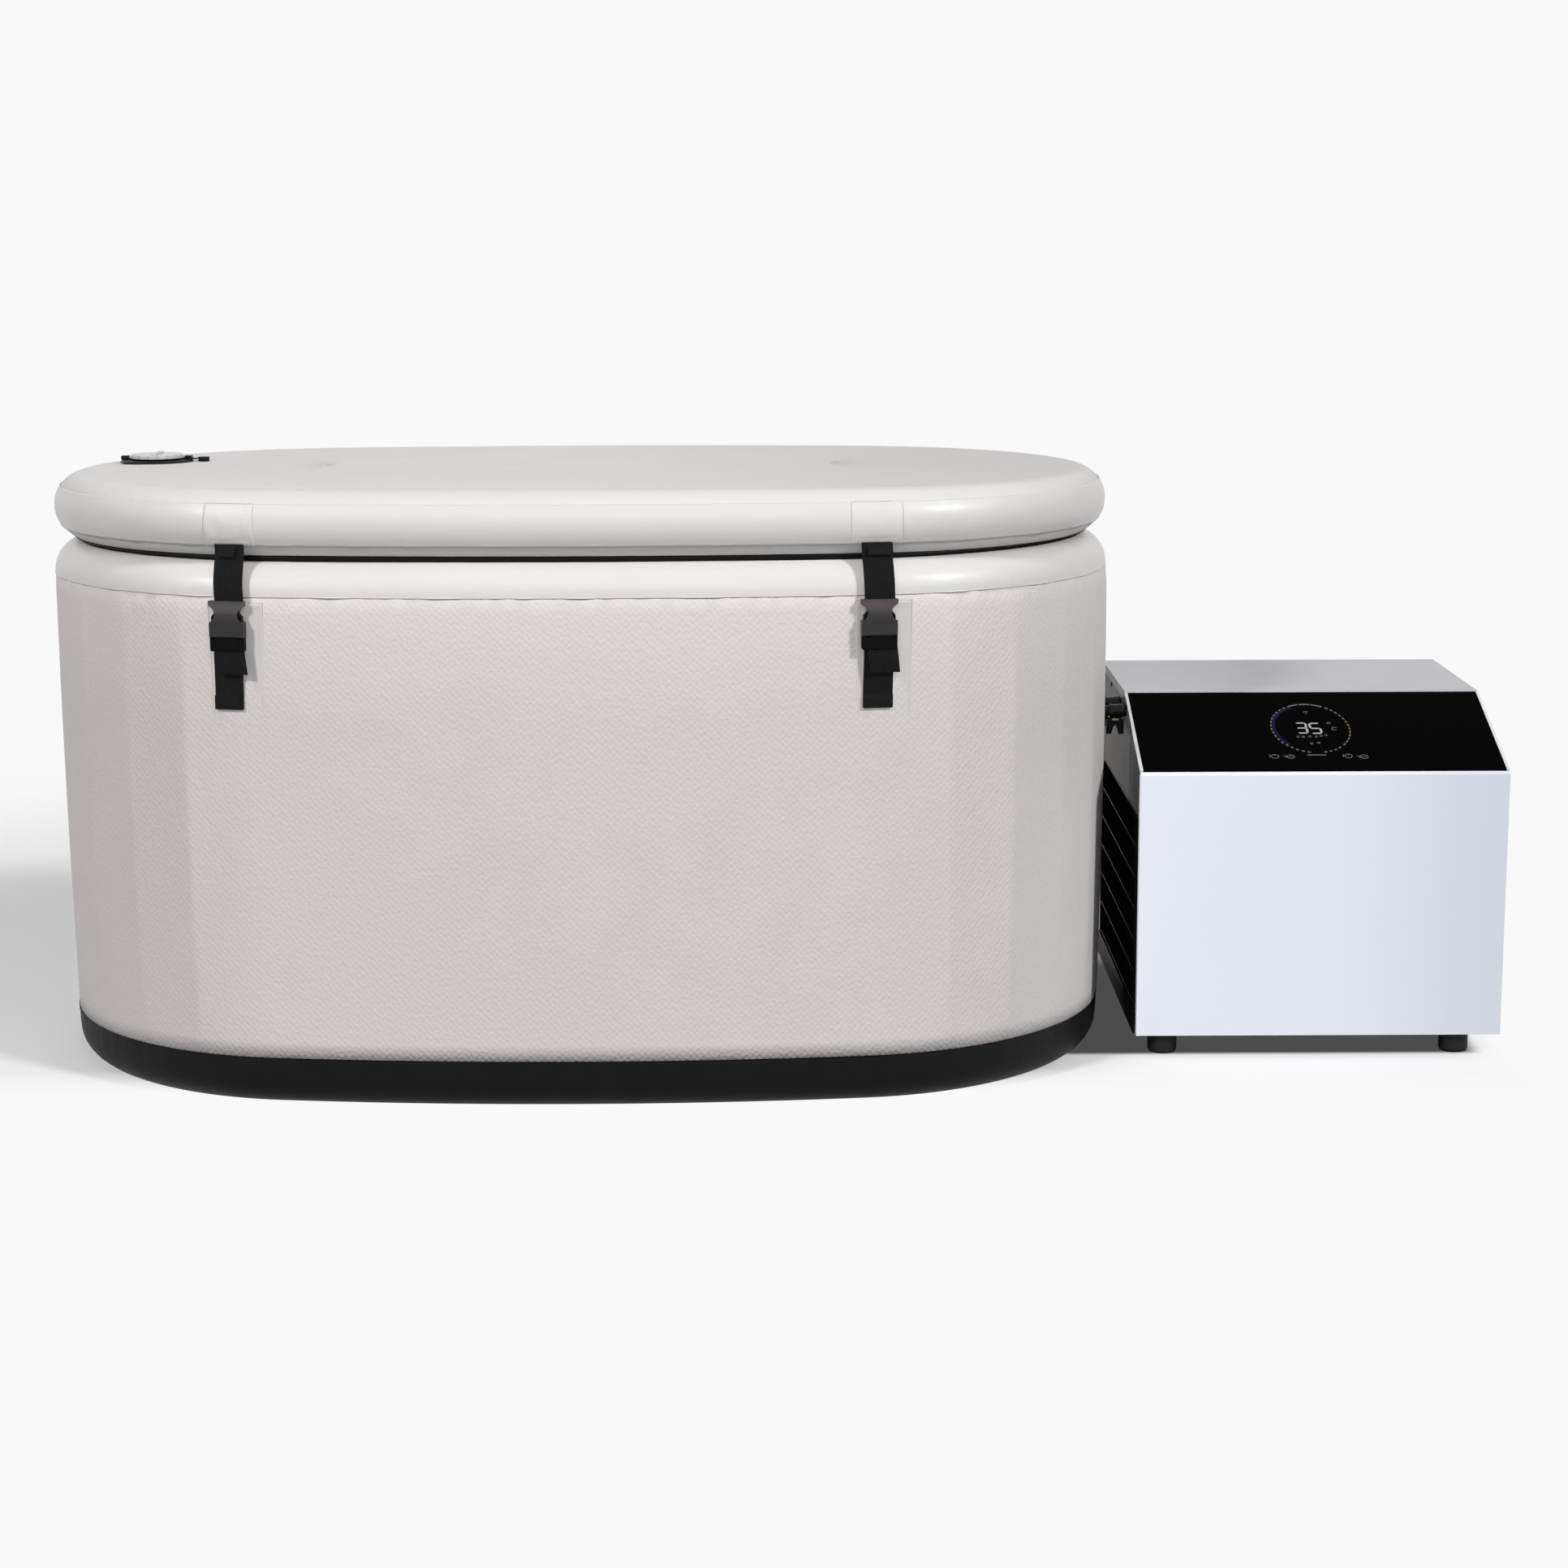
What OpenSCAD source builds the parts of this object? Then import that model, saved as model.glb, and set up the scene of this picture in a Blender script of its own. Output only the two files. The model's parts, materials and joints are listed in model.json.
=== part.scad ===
/* Hot and cold plunge tub: an oval inflatable tub with a clipped inflatable lid,
   coupled to a chiller and heater unit that stands at its right end.
   Millimetres, +Z up, +X towards the chiller, +Y to the back.
   The origin is on the floor under the middle of the tub. */

/* [Tub] */
// Length of the tub over its walls
tub_l = 1500; // [1300:10:1600]
// Width of the tub over its walls
tub_w = 840; // [760:10:900]
// Height of the tub without its lid
tub_h = 744; // [690:2:800]
// How much smaller the radius of the ends is than half the width
end_ease = 22; // [16:2:40]
// Thickness of the inflated wall
wall_t = 100; // [90:5:120]
// Width of the level strip on top of the wall
rim_level = 10; // [6:1:16]
// How far the wall leans in towards its foot
wall_lean = 6; // [1:1:12]
// Radius of the rounded lower edge
foot_r = 40; // [30:5:50]
// Thickness of the inflated floor
floor_t = 50; // [40:5:60]
// Thickness of the black wear sheet and its side band
sheet_t = 3; // [2:0.5:5]
// Height of the black side band
band_h = 69; // [60:1:90]
// Thickness of the smooth skin over the rim
rim_cover_t = 1.2; // [0.8:0.2:2]
// Drop from the top of the wall to the seam of the rim skin
rim_drop = 47; // [46:1:60]

/* [Lid] */
// Thickness of the inflated lid
lid_t = 94; // [80:2:110]
// Overhang of the lid past the tub
lid_over = -4; // [-6:1:6]
// Thickness of the welded bands and patches
patch_t = 1; // [0.8:0.1:1.6]
// Height of the welded band round the lid's edge
lid_band_h = 54; // [44:2:64]
// Width of the patch that holds a lid strap
lid_patch_w = 70; // [56:2:80]

/* [Straps and buckles] */
// Distance between the two straps
strap_pitch = 854; // [760:2:880]
// How far the pair of straps sits to the left of the middle
strap_left = 15; // [0:1:20]
// Width of the webbing
web_w = 40; // [32:1:41]
// Thickness of the webbing
web_t = 1.8; // [1.4:0.1:2.4]
// Drop from the top of the wall to the joint line between the buckle's two halves
buckle_drop = 99; // [90:1:140]
// Width of a buckle
buckle_w = 50; // [48:1:56]
// Thickness of a buckle
buckle_t = 12; // [11:0.5:14]
// Height of the female half
female_h = 48; // [44:1:52]
// Height of the male half's base
male_h = 19; // [18:1:24]
// Width of the waist between the buckle's two side windows
waist_w = 32; // [28:1:34]
// Drop from the top of the wall to the tub patch's lower edge
patch_drop = 222; // [218:1:240]
// Width of the tub patch
tub_patch_w = 76; // [60:2:80]
// Height of the tub patch
tub_patch_h = 168; // [90:2:170]
// How far the tub patches sit to the right of their straps
patch_right = 8; // [0:1:12]
// Drop from the top of the wall to the lower strap's sewn end
sewn_drop = 197; // [186:1:212]
// Length of the loose end below the male half
tail_l = 30; // [20:1:50]

/* [Air valves] */
// Radius of a valve's welded flange
flange_r = 53; // [46:1:60]
// Thickness of a valve's welded flange
flange_t = 3; // [2.5:0.5:4]
// Radius of a valve's cap
cap_r = 38; // [35:1:40]
// Height of a valve's cap above the flange
cap_h = 8; // [7:1:12]
// Travel of a valve's push pin
pin_travel = 4; // [2:0.5:5]
// Distance of the lid valve from the left end of the tub
lid_valve_in = 128; // [100:2:180]
// Distance of the lid valve behind the middle
lid_valve_back = 70; // [40:2:120]
// Drop from the top of the wall to the tub's own valve on the rear wall
valve_drop = 144; // [130:2:190]
// Distance of the tub's own valve from the middle
tub_valve_x = 300; // [200:10:330]

/* [Drain] */
// Height of the drain's axis
drain_z = 102; // [100:1:120]
// Radius of the drain spout, for a three-quarter inch hose union
spout_r = 13.2; // [12:0.1:14]
// Length of the drain spout
spout_l = 18; // [14:1:24]

/* [Water couplings] */
// Height of the two couplings' axes
port_z = 467; // [430:1:475]
// Distance of the front coupling behind the middle line
port_front_y = 60; // [50:1:70]
// Distance between the two couplings
port_pitch = 70; // [60:1:76]
// Outer radius of the through pipes
pipe_r = 8; // [7:0.5:9]
// Wall thickness of the through pipes
pipe_wall = 1.5; // [1:0.25:2]

/* [Chiller] */
// Gap between the tub's end and the chiller
unit_gap = 40; // [38:1:60]
// Width of the chiller
unit_w = 521; // [480:5:560]
// Depth of the chiller
unit_d = 540; // [500:5:570]
// Height of the chiller with its feet
unit_h = 493; // [480:1:520]
// How far the chiller's front stands forward of the middle line
unit_front = 152; // [140:2:200]
// Height of the rubber feet
unit_foot_h = 32; // [24:1:40]
// Radius of the rubber feet
unit_foot_r = 21; // [16:1:24]
// Height of the front panel's top edge
kink_z = 413; // [390:1:420]
// Depth of the slanted control panel, seen from above
slant_d = 220; // [180:5:230]
// Thickness of the sheet metal panels
sheet_metal = 1.5; // [1:0.25:2]
// Thickness of the control panel's glass
glass_t = 4; // [3:0.5:5]
// Width of the bright trim beside the glass
trim_w = 4; // [3:0.5:8]
// Radius of the front panel's rounded top edge
front_r = 5; // [3:0.5:8]
// Height of the louvre's lower edge
louvre_z = 50; // [44:1:60]
// Height of the louvre
louvre_h = 290; // [240:5:290]
// Number of louvre slats
slats = 6; // [5:1:8]
// Radius of the condenser fan
fan_r = 118; // [100:2:122]
// Number of fan blades
blades = 7; // [4:1:9]

/* [Hidden] */

$fn = 64;
// Clearance between skins and what they cover
fit = 0.2;
// Clearance between separate pieces
gap = 0.3;
// Radial clearance of a turning stem
run = 0.05;
big = 4000;

// Rounds a derived length to a thousandth
function q(v) = round(v*1000)/1000;

// The plan is an oval of four arcs: two ends of radius end_r and two flat sides of radius side_r
half_l = tub_l/2;
half_w = tub_w/2;
end_r = half_w - end_ease;
end_c = half_l - end_r;
side_r = q((half_l*half_l + half_w*half_w - 2*half_l*end_r)/(2*end_ease));
side_c = side_r - half_w;
end_ang = atan2(side_c, end_c);
// Where the joints between the arcs leave the plan, from the centre of an end
ray_x = q((end_r + 60)*cos(end_ang));
ray_y = q((end_r + 60)*sin(end_ang));

rim_r = (wall_t - rim_level)/2;
rim_z = tub_h - rim_r;
seam_z = tub_h - rim_drop;
cover_in = rim_cover_t + fit;
band_in = sheet_t + fit;
foot_z = foot_r;
buckle_z = tub_h - buckle_drop;
tub_patch_z = tub_h - patch_drop;
strap_end_z = tub_h - sewn_drop;
tub_valve_z = tub_h - valve_drop;
// Slope of the leaning wall
wall_slope = atan(wall_lean/rim_z);
function lean_at(z) = q(wall_lean*(1 - z/rim_z));
foot_c = -lean_at(foot_z) - foot_r;

lid_z = tub_h + gap;
lid_r = lid_t/2;
lid_mid = lid_z + lid_r;
band_r = lid_r + fit;
lid_patch_r = band_r + patch_t + fit;

tub_floor_z = sheet_t + fit + floor_t;

// Profiles: x runs outwards from the oval's outer line, y is the height

// A quarter of a disc that fills the quadrant towards (sx, sy)
module quarter(r, sx, sy) {
    intersection() {
        circle(r);
        translate([sx < 0 ? -r : 0, sy < 0 ? -r : 0]) square(r);
    }
}

// A quarter of a ring in the quadrant towards (sx, sy)
module quarter_ring(r, t, sx, sy) {
    intersection() {
        difference() {
            circle(r + t);
            circle(r);
        }
        translate([sx < 0 ? -r - t : 0, sy < 0 ? -r - t : 0]) square(r + t);
    }
}

// Carries a profile round the oval, one revolve for each of the four arcs
module round_oval() {
    for (s = [1, -1]) {
        intersection() {
            translate([s*end_c, 0, 0]) rotate_extrude($fn = 144) translate([end_r, 0]) children();
            wedge() polygon([[s*end_c, 0], [s*(end_c + ray_x), -ray_y], [s*(half_l + 60), -ray_y],
                             [s*(half_l + 60), ray_y], [s*(end_c + ray_x), ray_y]]);
        }
        intersection() {
            translate([0, -s*side_c, 0]) rotate_extrude($fn = 720) translate([side_r, 0]) children();
            wedge() polygon([[end_c, 0], [end_c + ray_x, s*ray_y], [-end_c - ray_x, s*ray_y], [-end_c, 0]]);
        }
    }
}

module wedge() {
    translate([0, 0, -10]) linear_extrude(tub_h + lid_t + 20) children();
}

// The oval as a flat outline, grown outwards by grow
module oval(grow = 0) {
    for (s = [1, -1])
        intersection() {
            translate([s*end_c, 0]) circle(end_r + grow, $fn = 144);
            polygon([[s*end_c, 0], [s*(end_c + ray_x), -ray_y], [s*(half_l + 60), -ray_y],
                     [s*(half_l + 60), ray_y], [s*(end_c + ray_x), ray_y]]);
        }
    intersection() {
        translate([0, side_c]) circle(side_r + grow, $fn = 720);
        translate([0, -side_c]) circle(side_r + grow, $fn = 720);
        polygon([[end_c, 0], [end_c + ray_x, ray_y], [-end_c - ray_x, ray_y],
                 [-end_c, 0], [-end_c - ray_x, -ray_y], [end_c + ray_x, -ray_y]]);
    }
}

// Base

module base_sheet() {
    color("#1c1c1c") linear_extrude(sheet_t) oval(foot_c - gap);
}

module base_band() {
    color("#1c1c1c") round_oval() {
        translate([foot_c, foot_z]) quarter_ring(foot_r - sheet_t, sheet_t, 1, -1);
        polygon([[-lean_at(foot_z) - sheet_t, foot_z], [-lean_at(foot_z), foot_z],
                 [-lean_at(band_h), band_h], [-lean_at(band_h) - sheet_t, band_h]]);
    }
}

// Wall and floor

module wall_profile() {
    foot_in = foot_r - band_in;
    translate([foot_c, foot_z]) quarter(foot_in, 1, -1);
    translate([-wall_t, band_in]) square([wall_t + foot_c, foot_z - band_in]);
    polygon([[-wall_t, foot_z], [foot_c + foot_in, foot_z],
             [-lean_at(band_h) - band_in, band_h], [-wall_t, band_h]]);
    polygon([[-wall_t, band_h], [-lean_at(band_h), band_h],
             [-lean_at(seam_z), seam_z], [-wall_t, seam_z]]);
    translate([-wall_t + cover_in, seam_z]) square([wall_t - 2*cover_in, rim_z - seam_z]);
    translate([-rim_r, rim_z]) quarter(rim_r - cover_in, 1, 1);
    translate([-wall_t + rim_r, rim_z]) quarter(rim_r - cover_in, -1, 1);
    translate([-wall_t + rim_r, rim_z]) square([rim_level, rim_r - cover_in]);
}

module rim_profile() {
    inner = rim_r - rim_cover_t;
    translate([-rim_r, rim_z]) quarter_ring(inner, rim_cover_t, 1, 1);
    translate([-wall_t + rim_r, rim_z]) quarter_ring(inner, rim_cover_t, -1, 1);
    translate([-wall_t + rim_r, tub_h - rim_cover_t]) square([rim_level, rim_cover_t]);
    translate([-rim_cover_t, seam_z]) square([rim_cover_t, rim_z - seam_z]);
    translate([-wall_t, seam_z]) square([rim_cover_t, rim_z - seam_z]);
}

module tub_wall() {
    color("#cdc9c7") difference() {
        round_oval() wall_profile();
        at_tub_valve() valve_pocket();
        at_drain() translate([0, 0, -wall_t - 20]) cylinder(r = drain_pipe_r + gap, h = wall_t + 60);
        for (y = port_ys) translate([half_l - 2*wall_t, y, port_z])
            rotate([0, 90, 0]) cylinder(r = pipe_r + gap, h = 3*wall_t);
    }
}

module tub_floor() {
    color("#cdc9c7") translate([0, 0, sheet_t + fit]) linear_extrude(floor_t) oval(-wall_t - gap);
}

module rim_cover() {
    color("#e2e2e1") round_oval() rim_profile();
}

// Straps: the strap frame has x along the wall, -y out of it and z up

strap_xs = [-strap_left - strap_pitch/2, -strap_left + strap_pitch/2];

// Where the wall's outer line passes x on the front side, and its turn there
function front_turn(x) = abs(x) > end_c + end_r*cos(end_ang)
    ? sign(x)*asin((abs(x) - end_c)/end_r) : asin(x/side_r);
function front_y(x) = abs(x) > end_c + end_r*cos(end_ang)
    ? -end_r*cos(front_turn(x)) : side_c - side_r*cos(front_turn(x));

module at_strap(x) {
    translate([x, front_y(x), 0]) rotate([0, 0, front_turn(x)]) children();
}

// A ribbon of thickness t through points [y, z], as wide as w along x
module ribbon(points, t, w) {
    n = len(points);
    function heading(i) = let(a = points[max(i - 1, 0)], b = points[min(i + 1, n - 1)], d = b - a)
        d/norm(d);
    side_a = [for (i = [0:n - 1]) points[i] + t/2*[-heading(i)[1], heading(i)[0]]];
    side_b = [for (i = [n - 1:-1:0]) points[i] - t/2*[-heading(i)[1], heading(i)[0]]];
    translate([-w/2, 0, 0]) rotate([90, 0, 90]) linear_extrude(w)
        polygon(concat(side_a, side_b));
}

module tub_patches() {
    top_z = tub_patch_z + tub_patch_h;
    color("#d6d3d1") intersection() {
        round_oval() polygon([
            [fit - lean_at(tub_patch_z), tub_patch_z], [fit + patch_t - lean_at(tub_patch_z), tub_patch_z],
            [fit + patch_t - lean_at(top_z), top_z], [fit - lean_at(top_z), top_z]]);
        for (x = strap_xs) at_strap(x) translate([-tub_patch_w/2 + patch_right, -30, tub_patch_z])
            cube([tub_patch_w, 60, tub_patch_h]);
    }
}

module lid_patches() {
    color("#dededd") intersection() {
        round_oval() intersection() {
            translate([lid_over - lid_r, lid_mid]) difference() {
                circle(lid_patch_r + patch_t);
                circle(lid_patch_r);
            }
            translate([lid_over - lid_r, lid_mid - lid_band_h/2 - 1]) square([2*lid_r, lid_band_h + 2]);
        }
        for (x = strap_xs) at_strap(x) translate([-lid_patch_w/2, -30, lid_z])
            cube([lid_patch_w, 90, lid_t]);
    }
}

// Buckles: the back of a buckle stands buckle_off in front of the wall's outer line
buckle_off = 2.4;
buckle_y = -buckle_off - buckle_t/2;
shell_t = 2.3;
cavity_w = 43;
cavity_t = buckle_t - 2*shell_t;
cavity_h = 36;
flange_h = 6;
slot_t = 3.4;
slot_w = web_w + 2;
slot_d = 5;
bar_r = 2.2;
bar_z = buckle_z - 9;
head_x = cavity_w/2 - gap;
arm_w = 4;
root_r = 3;
root_x = head_x - 1 - root_r;
prong_t = cavity_t - 2*gap;
window_r = 11;
window_z = 30;
// How far the loose end hangs to the right of the strap
tail_right = 7;

// A moulded block from z0 to z1: rounded upright edges, a front that falls back by fall at the
// top and edges rolled by roll at the bottom
module moulding(w, z0, z1, fall, roll) {
    corner = 3;
    half_t = buckle_t/2;
    shoulder = z1 - 16;
    translate([0, buckle_y, 0]) intersection() {
        translate([0, 0, z0]) linear_extrude(z1 - z0) union() {
            square([w - 2*corner, buckle_t], center = true);
            square([w, buckle_t - 2*corner], center = true);
            for (sx = [-1, 1], sy = [-1, 1])
                translate([sx*(w/2 - corner), sy*(half_t - corner)]) circle(corner, $fn = 24);
        }
        translate([-w/2 - 1, 0, 0]) rotate([90, 0, 90]) linear_extrude(w + 2) polygon(concat(
            [for (a = [0:22.5:90]) [-half_t + roll - roll*sin(90 - a), z0 + roll - roll*cos(90 - a)]],
            [for (a = [0:22.5:90]) [half_t - roll + roll*sin(a), z0 + roll - roll*cos(a)]],
            [[half_t, z1], [-half_t + fall, z1], [-half_t + fall, z1 - 4],
             [-half_t, fall > 0 ? shoulder : z1 - 5]]));
    }
}

module buckle_female() {
    intersection() {
        moulding(buckle_w, buckle_z + gap, buckle_z + female_h, 2.4, 1.2);
        buckle_shell();
    }
}

module buckle_shell() {
    difference() {
        translate([0, buckle_y + buckle_t/2, buckle_z + gap]) rotate([90, 0, 0]) linear_extrude(buckle_t)
            difference() {
                union() {
                    translate([-buckle_w/2 + 1, 0]) square([buckle_w - 2, female_h - flange_h]);
                    translate([-buckle_w/2, female_h - flange_h]) square([buckle_w, flange_h - gap]);
                }
                for (s = [-1, 1]) translate([s*(waist_w/2 + window_r), window_z]) circle(window_r);
            }
        translate([-cavity_w/2, buckle_y - cavity_t/2, buckle_z - 1]) cube([cavity_w, cavity_t, cavity_h]);
        translate([-slot_w/2, buckle_y - slot_t/2, buckle_z + female_h - slot_d])
            cube([slot_w, slot_t, slot_d + 1]);
    }
}

module buckle_male() {
    base_w = buckle_w - 2;
    corner = 4;
    difference() {
        union() {
            intersection() {
                moulding(base_w, buckle_z - male_h, buckle_z, 0, 2.5);
                translate([0, buckle_y + buckle_t, buckle_z]) rotate([90, 0, 0]) linear_extrude(2*buckle_t) {
                    translate([-base_w/2, -male_h + corner]) square([base_w, male_h]);
                    translate([-base_w/2 + corner, -male_h]) square([base_w - 2*corner, corner]);
                    for (s = [-1, 1]) translate([s*(base_w/2 - corner), -male_h + corner]) quarter(corner, s, -1);
                }
            }
            translate([-5, buckle_y - prong_t/2, buckle_z - 1]) cube([10, prong_t, cavity_h - 8]);
        }
        translate([-slot_w/2, buckle_y - buckle_t/2 + 1.6, buckle_z - male_h - 1])
            cube([slot_w, buckle_t - 3.2, male_h - 4]);
        for (s = [-1, 1]) translate([s*root_x, buckle_y + buckle_t/2 + 1, buckle_z]) rotate([90, 0, 0])
            cylinder(r = root_r + gap, h = buckle_t + 2);
    }
    translate([-slot_w/2 - 1, buckle_y, bar_z]) rotate([0, 90, 0]) cylinder(r = bar_r, h = slot_w + 2);
}

// One side prong: a round root, a slim arm and a head with a sloping nose
module prong(side) {
    head_z = buckle_z + 20;
    tip_z = buckle_z + 33;
    translate([0, buckle_y + prong_t/2, 0]) rotate([90, 0, 0]) linear_extrude(prong_t)
        polygon([[side*(root_x - arm_w/2), buckle_z], [side*(root_x + arm_w/2), buckle_z],
                 [side*(head_x - 2), head_z - 6], [side*head_x, head_z], [side*head_x, tip_z - 6],
                 [side*(head_x - 5), tip_z], [side*(head_x - 8), tip_z - 2], [side*(head_x - 8), head_z - 4]]);
    translate([side*root_x, buckle_y + prong_t/2, buckle_z]) rotate([90, 0, 0])
        cylinder(r = root_r, h = prong_t);
}

// The lower strap: sewn end, run up to the bar, turn over it and a loose end in front
module lower_strap() {
    back_y = buckle_y + bar_r + web_t/2 + fit;
    front_y = buckle_y - bar_r - web_t/2 - fit;
    turn_r = bar_r + web_t/2 + fit;
    sewn_y = -fit - patch_t - web_t/2 - fit + lean_at(strap_end_z);
    turn = [for (a = [0:30:180]) [buckle_y + turn_r*cos(a), bar_z + turn_r*sin(a)]];
    ribbon(concat([[sewn_y, strap_end_z], [sewn_y, strap_end_z + 24],
                   [back_y + 1.2, buckle_z - male_h - 12], [back_y, buckle_z - male_h + 2]],
                  turn, [[front_y, buckle_z - male_h - 3]]), web_t, web_w);
    translate([tail_right, 0, 0]) ribbon([[front_y, buckle_z - male_h - 1], [front_y - 0.5, buckle_z - male_h - tail_l/2],
                                 [front_y + 0.5, buckle_z - male_h - tail_l]], web_t, web_w);
    translate([0, sewn_y - web_t/2 - 1, strap_end_z + 3]) rotate([0, 90, 0])
        translate([0, 0, -web_w/2]) cylinder(r = 2.2, h = web_w);
}

// The upper strap: from under the lid patch down into the female half's slot
module upper_strap() {
    patch_edge = lid_mid - lid_band_h/2 - 1;
    drop = lid_mid - patch_edge - 2;
    outer = lid_patch_r + patch_t;
    start_y = -lid_over + lid_r - sqrt(outer*outer - drop*drop) - gap - web_t/2;
    ribbon([[start_y, patch_edge + 2], [start_y - 1.2, patch_edge - 10], [-6.5, seam_z + 22],
            [buckle_y, buckle_z + female_h + 8], [buckle_y, buckle_z + female_h - slot_d + gap]],
           web_t, web_w);
}

module tub_straps() {
    color("#262626") for (x = strap_xs) at_strap(x) lower_strap();
}

module lid_straps() {
    color("#262626") for (x = strap_xs) at_strap(x) upper_strap();
}

module buckle_male_left() { color("#2c2a2b") at_strap(strap_xs[0]) buckle_male(); }
module buckle_male_right() { color("#2c2a2b") at_strap(strap_xs[1]) buckle_male(); }
module buckle_female_left() { color("#383435") at_strap(strap_xs[0]) buckle_female(); }
module buckle_female_right() { color("#383435") at_strap(strap_xs[1]) buckle_female(); }
module prong_left_a() { color("#2c2a2b") at_strap(strap_xs[0]) prong(-1); }
module prong_left_b() { color("#2c2a2b") at_strap(strap_xs[0]) prong(1); }
module prong_right_a() { color("#2c2a2b") at_strap(strap_xs[1]) prong(-1); }
module prong_right_b() { color("#2c2a2b") at_strap(strap_xs[1]) prong(1); }

// Lid

module lid_pad() {
    line = lid_over - lid_r;
    color("#d4d0cf") difference() {
        union() {
            round_oval() {
                translate([line, lid_mid]) quarter(lid_r, 1, 1);
                translate([line, lid_mid]) quarter(lid_r, 1, -1);
                translate([line - 80, lid_z]) square([80, lid_t]);
            }
            translate([0, 0, lid_z]) linear_extrude(lid_t) oval(line - 40);
        }
        at_lid_valve() valve_pocket();
    }
}

module lid_edge_band() {
    color("#e3e3e1") round_oval() intersection() {
        translate([lid_over - lid_r, lid_mid]) difference() {
            circle(band_r + patch_t);
            circle(band_r);
        }
        translate([lid_over - lid_r, lid_mid - lid_band_h/2]) square([2*lid_r, lid_band_h]);
    }
}

// Air valves: z runs out of the skin, which is at 0
barrel_r = 24;
barrel_l = 30;
barrel_wall = 4;
neck_r = 26;
seat_z = -9;
stem_r = 4;
skirt_t = 3;
neck_h = cap_h - skirt_t - 0.4;
notches = 16;
tether_reach = 68;
lobe_r = 8;

module at_lid_valve() {
    translate([-half_l + lid_valve_in, lid_valve_back, lid_z + lid_t]) children();
}

module at_tub_valve() {
    turn = asin(tub_valve_x/side_r);
    translate([tub_valve_x, side_r*cos(turn) - side_c - lean_at(tub_valve_z), tub_valve_z])
        rotate([0, 0, -turn]) rotate([-90 - wall_slope, 0, 0]) children();
}

module valve_pocket() {
    translate([0, 0, -barrel_l - 16]) cylinder(r = barrel_r + gap, h = barrel_l + 40);
}

module valve_body() {
    color("#232323") difference() {
        union() {
            translate([0, 0, fit]) cylinder(r1 = flange_r, r2 = flange_r - 3, h = flange_t - fit);
            cylinder(r = neck_r, h = flange_t + neck_h);
            translate([0, 0, -barrel_l]) cylinder(r = barrel_r, h = barrel_l + 1);
        }
        translate([0, 0, -barrel_l + 3]) cylinder(r = barrel_r - barrel_wall, h = barrel_l + seat_z - 6);
        translate([0, 0, seat_z - 4]) cylinder(r = 12, h = 8);
        translate([0, 0, seat_z]) cylinder(r = barrel_r - barrel_wall, h = barrel_l + 20);
        translate([0, 0, -barrel_l - 1]) cylinder(r = stem_r + run, h = barrel_l);
        for (a = [0:60:300]) rotate([0, 0, a]) translate([12, 0, -barrel_l - 1]) cylinder(r = 4, h = 6);
    }
}

module valve_pin() {
    color("#e8e8e6") {
        translate([0, 0, -barrel_l - 4]) cylinder(r = stem_r, h = barrel_l + 2);
        translate([0, 0, seat_z - 8]) cylinder(r = 15, h = 4 - gap);
        translate([0, 0, -4]) cylinder(r = 7, h = 3);
    }
}

module valve_cap() {
    top = flange_t + cap_h;
    foot = flange_t + 2.6;
    skirt_r = neck_r + gap;
    color("#cfd1d2") {
        difference() {
            union() {
                translate([0, 0, foot]) cylinder(r = cap_r, h = top - foot - 2);
                translate([0, 0, top - 2]) cylinder(r1 = cap_r, r2 = cap_r - 2, h = 2);
            }
            translate([0, 0, foot - 1]) cylinder(r = skirt_r, h = top - foot - skirt_t + 1);
            for (i = [0:notches - 1]) rotate([0, 0, (i + 0.5)*360/notches])
                translate([cap_r + 1.2, 0, foot - 1]) cylinder(r = 3, h = top - foot + 2, $fn = 16);
        }
        translate([-4, -cap_r + 8, top - 0.5]) cube([8, 2*cap_r - 16, 2.5]);
    }
}

module valve_tether() {
    ring_t = 1.8;
    z0 = flange_t + gap;
    color("#232323") {
        difference() {
            union() {
                translate([0, 0, z0]) cylinder(r = neck_r + 4, h = ring_t);
                translate([neck_r, -4, z0]) cube([tether_reach - neck_r, 8, ring_t]);
                translate([-cap_r - 13, -4, z0]) cube([cap_r + 13 - neck_r, 8, ring_t]);
                for (x = [-cap_r - 13, cap_r + 3]) translate([x, -7, z0]) cube([10, 14, ring_t + 3.5]);
            }
            translate([0, 0, z0 - 1]) cylinder(r = neck_r + gap, h = ring_t + 2);
        }
        translate([tether_reach, 0, gap]) cylinder(r = lobe_r, h = z0 + ring_t + 1.2);
    }
}

module lid_valve_body() { at_lid_valve() valve_body(); }
module lid_valve_pin() { at_lid_valve() valve_pin(); }
module lid_valve_cap() { at_lid_valve() valve_cap(); }
module lid_valve_tether() { at_lid_valve() valve_tether(); }
module tub_valve_body() { at_tub_valve() valve_body(); }
module tub_valve_pin() { at_tub_valve() valve_pin(); }
module tub_valve_cap() { at_tub_valve() valve_cap(); }
module tub_valve_tether() { at_tub_valve() valve_tether(); }

// Ball valves: x is the flow axis, the key's stem leaves along +z
module ball_shell(length, outer, bore, ball, stem, neck_l) {
    neck = stem + 3;
    difference() {
        union() {
            rotate([0, 90, 0]) cylinder(r = outer, h = length, center = true);
            for (s = [-1, 1]) translate([s*(length/2 - 2), 0, 0]) rotate([0, 90, 0])
                cylinder(r = outer + 0.8, h = 4, center = true);
            cylinder(r = neck, h = outer + neck_l);
        }
        sphere(ball + gap);
        rotate([0, 90, 0]) cylinder(r = bore, h = length + 2, center = true);
        cylinder(r = stem + run, h = outer + 6);
    }
}

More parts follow.
